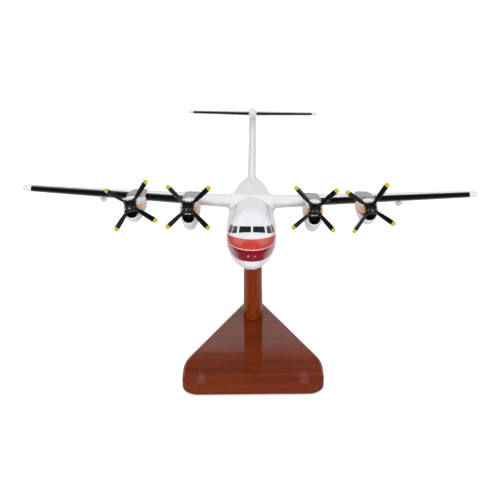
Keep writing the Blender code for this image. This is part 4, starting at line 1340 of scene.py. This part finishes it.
make_base()
make_felt()
fuselage = make_fuselage()
centre_section = make_centre(fuselage)
for word, side in SIDES:
    make_wing(word, side, centre_section)
    make_flap_fairing(word, side)
    make_tip_lamp(word, side)
finish_piece(centre_section, "wing_centre_section")
finish_piece(fuselage, "fuselage")
make_post()
make_engines()
make_fin()
make_bullet()
for word, side in SIDES:
    make_tailplane(word, side)

# large white pieces stay out of the reflections
UNREFLECTED = ("tailplane_panel", "tail_bullet_shell", "fin_blade", "fuselage_shell",
               "wing_panel", "wing_centre_fairing")
for obj in scene.objects:
    if obj.name.startswith(UNREFLECTED):
        obj.visible_glossy = False

# CAD nodes kept as they are: hidden pegs, screws and bushes
KEPT = {"base_screw": M_STEEL, "post_peg": M_DOWEL_Z, "wing_dowel_starboard": M_DOWEL_X,
        "wing_dowel_port": M_DOWEL_X, "fin_dowel": M_DOWEL_Z, "tailplane_dowel": M_DOWEL_X,
        "fin_top_dowel": M_DOWEL_Z}
KEPT.update({"prop_bush_" + word: M_BRASS for word in ENGINES})
for name, material in KEPT.items():
    NODES[name].data.materials.clear()
    NODES[name].data.materials.append(material)


# ================================================================ studio, metres
FLOOR_TONE = (0.80, 0.80, 0.805)
FLOOR_LIFT = 0.50  # glow of the floor in the camera's eye
SOFT_LEVEL = 0.64  # diffuse light of the room
BACKDROP, CEILING = (0.88, 0.88, 0.88, 1), (0.06, 0.06, 0.065, 1)
ROOM = 0.09  # reflected brightness of the room beside the backdrop's


def floor_material():
    g = Material("studio_floor")
    path = g.node("ShaderNodeLightPath", output="Is Camera Ray")
    tone = g.span(g.noise(scale=0.004), over=(0.3, 0.7))
    g.set(color=g.mix(tone, FLOOR_TONE, shade(FLOOR_TONE, 0.985)), rough=0.8, spec=0.05,
          glow=(1.0, 1.0, 1.0), glow_strength=path * FLOOR_LIFT)
    # to reflections only, the floor on the camera's side turns dark: a painted reflection of a dim
    # room
    dark = g.node("ShaderNodeBsdfDiffuse", {0: (0.10, 0.10, 0.11)})
    reflected_dark_mask = g.span(g.split(g.mm)[1], over=(60.0, -30.0), smooth=True)
    shader = g.mix_shader(path.output("Is Glossy Ray") * 0.85 * reflected_dark_mask, g.surface, dark)
    g.feed(g.out.inputs[0], shader)
    return g.material


def make_floor():
    cells, half = 24, 6.0
    row = cells + 1
    ticks = [-half + 2 * half * i / cells for i in range(row)]
    corners = [j * row + i for j in range(cells) for i in range(cells)]
    mesh = bpy.data.meshes.new("studio_floor")
    mesh.from_pydata([(x, y, 0.0) for y in ticks for x in ticks], [],
                     [(c, c + 1, c + row + 1, c + row) for c in corners])
    mesh.materials.append(floor_material())
    floor = add("studio_floor", mesh)
    floor.location.z = -0.0002


def make_world():
    """White to the camera, soft to diffuse rays, a backdrop in a dim room to reflections."""
    world = bpy.data.worlds.new("studio")
    scene.world = world
    world.use_nodes = True
    g = Graph(world.node_tree)
    x, y, z = g.split(g.node("ShaderNodeTexCoord", output="Generated"))
    # white backdrop up to a low height, dimmer ceiling above it
    sweep = g.node("ShaderNodeValToRGB", {0: z})
    stops = sweep.socket.node.color_ramp.elements
    stops[0].position, stops[0].color = 0.538, BACKDROP
    stops[1].position, stops[1].color = 0.5455, CEILING
    # only the sweep behind the model is white; the rest of the room is dim
    heading = g.node("ShaderNodeVectorMath", {0: g.node("ShaderNodeCombineXYZ", {0: x, 1: y})},
                     operation="NORMALIZE")
    behind = g.span(g.split(heading)[1], over=(0.72, 0.92), to=(ROOM, 1.0), smooth=True)
    room = g.node("ShaderNodeMix", {0: 1.0, 6: sweep, 7: behind}, output=2,
                  data_type="RGBA", blend_type="MULTIPLY")

    def background(color, level):
        return g.node("ShaderNodeBackground", {0: color, 1: level})

    seen = background((1.0, 1.0, 1.0), level=1.0)
    soft = background((1.0, 1.0, 1.02), level=SOFT_LEVEL)
    mirror = background(room, level=1.0)
    camera_ray = g.node("ShaderNodeLightPath", output="Is Camera Ray")
    unseen = g.mix_shader(camera_ray.output("Is Glossy Ray"), soft, mirror)
    g.add("ShaderNodeOutputWorld", {0: g.mix_shader(camera_ray, unseen, seen)})


def make_light(name, at, target, size, power, glossy=True):
    light = bpy.data.lights.new(name, "AREA")
    light.shape = "RECTANGLE"
    light.size = light.size_y = size
    light.energy = power
    obj = add(name, light)
    obj.location = at
    obj.rotation_mode = "QUATERNION"
    obj.rotation_quaternion = (Vector(target) - Vector(at)).to_track_quat("-Z", "Y")
    obj.visible_glossy = glossy


def make_camera():
    data = bpy.data.cameras.new("camera")
    data.sensor_width = 36.0
    data.lens = 65.3328
    data.shift_x, data.shift_y = -0.0502, 0.0002
    data.clip_start, data.clip_end = 0.05, 50.0
    camera = add("camera", data)
    place = (0.0010, -0.8932, 0.5743)
    yaw, pitch, roll = radians(-1.519), radians(26.52), radians(0.407)
    heading = Matrix.Rotation(yaw, 3, "Z")
    forward = heading @ Vector((0, cos(pitch), -sin(pitch)))
    level = heading @ Vector((1, 0, 0))
    upright = level.cross(forward)
    right = cos(roll) * level + sin(roll) * upright
    up = -sin(roll) * level + cos(roll) * upright
    rows = [(right[k], up[k], -forward[k], place[k]) for k in range(3)]
    camera.matrix_world = Matrix((*rows, (0, 0, 0, 1)))
    scene.camera = camera


make_floor()
make_world()
make_light("softbox_top", at=(0.0, 0.1, 1.9), target=(0, 0, 0.15), size=1.6, power=11.5,
           glossy=False)
make_light("softbox_front", at=(0.0, -1.6, 1.3), target=(0, 0, 0.15), size=1.4, power=11.0,
           glossy=False)
make_light("lamp_left", at=(-0.396, -1.255, 0.105), target=(-0.004, -0.123, 0.183), size=0.16,
           power=1.3)
make_light("lamp_right", at=(0.447, -1.232, 0.100), target=(0.002, -0.123, 0.183), size=0.16,
           power=1.3)
make_camera()
scene.view_settings.view_transform = "Standard"
scene.view_settings.look = "None"
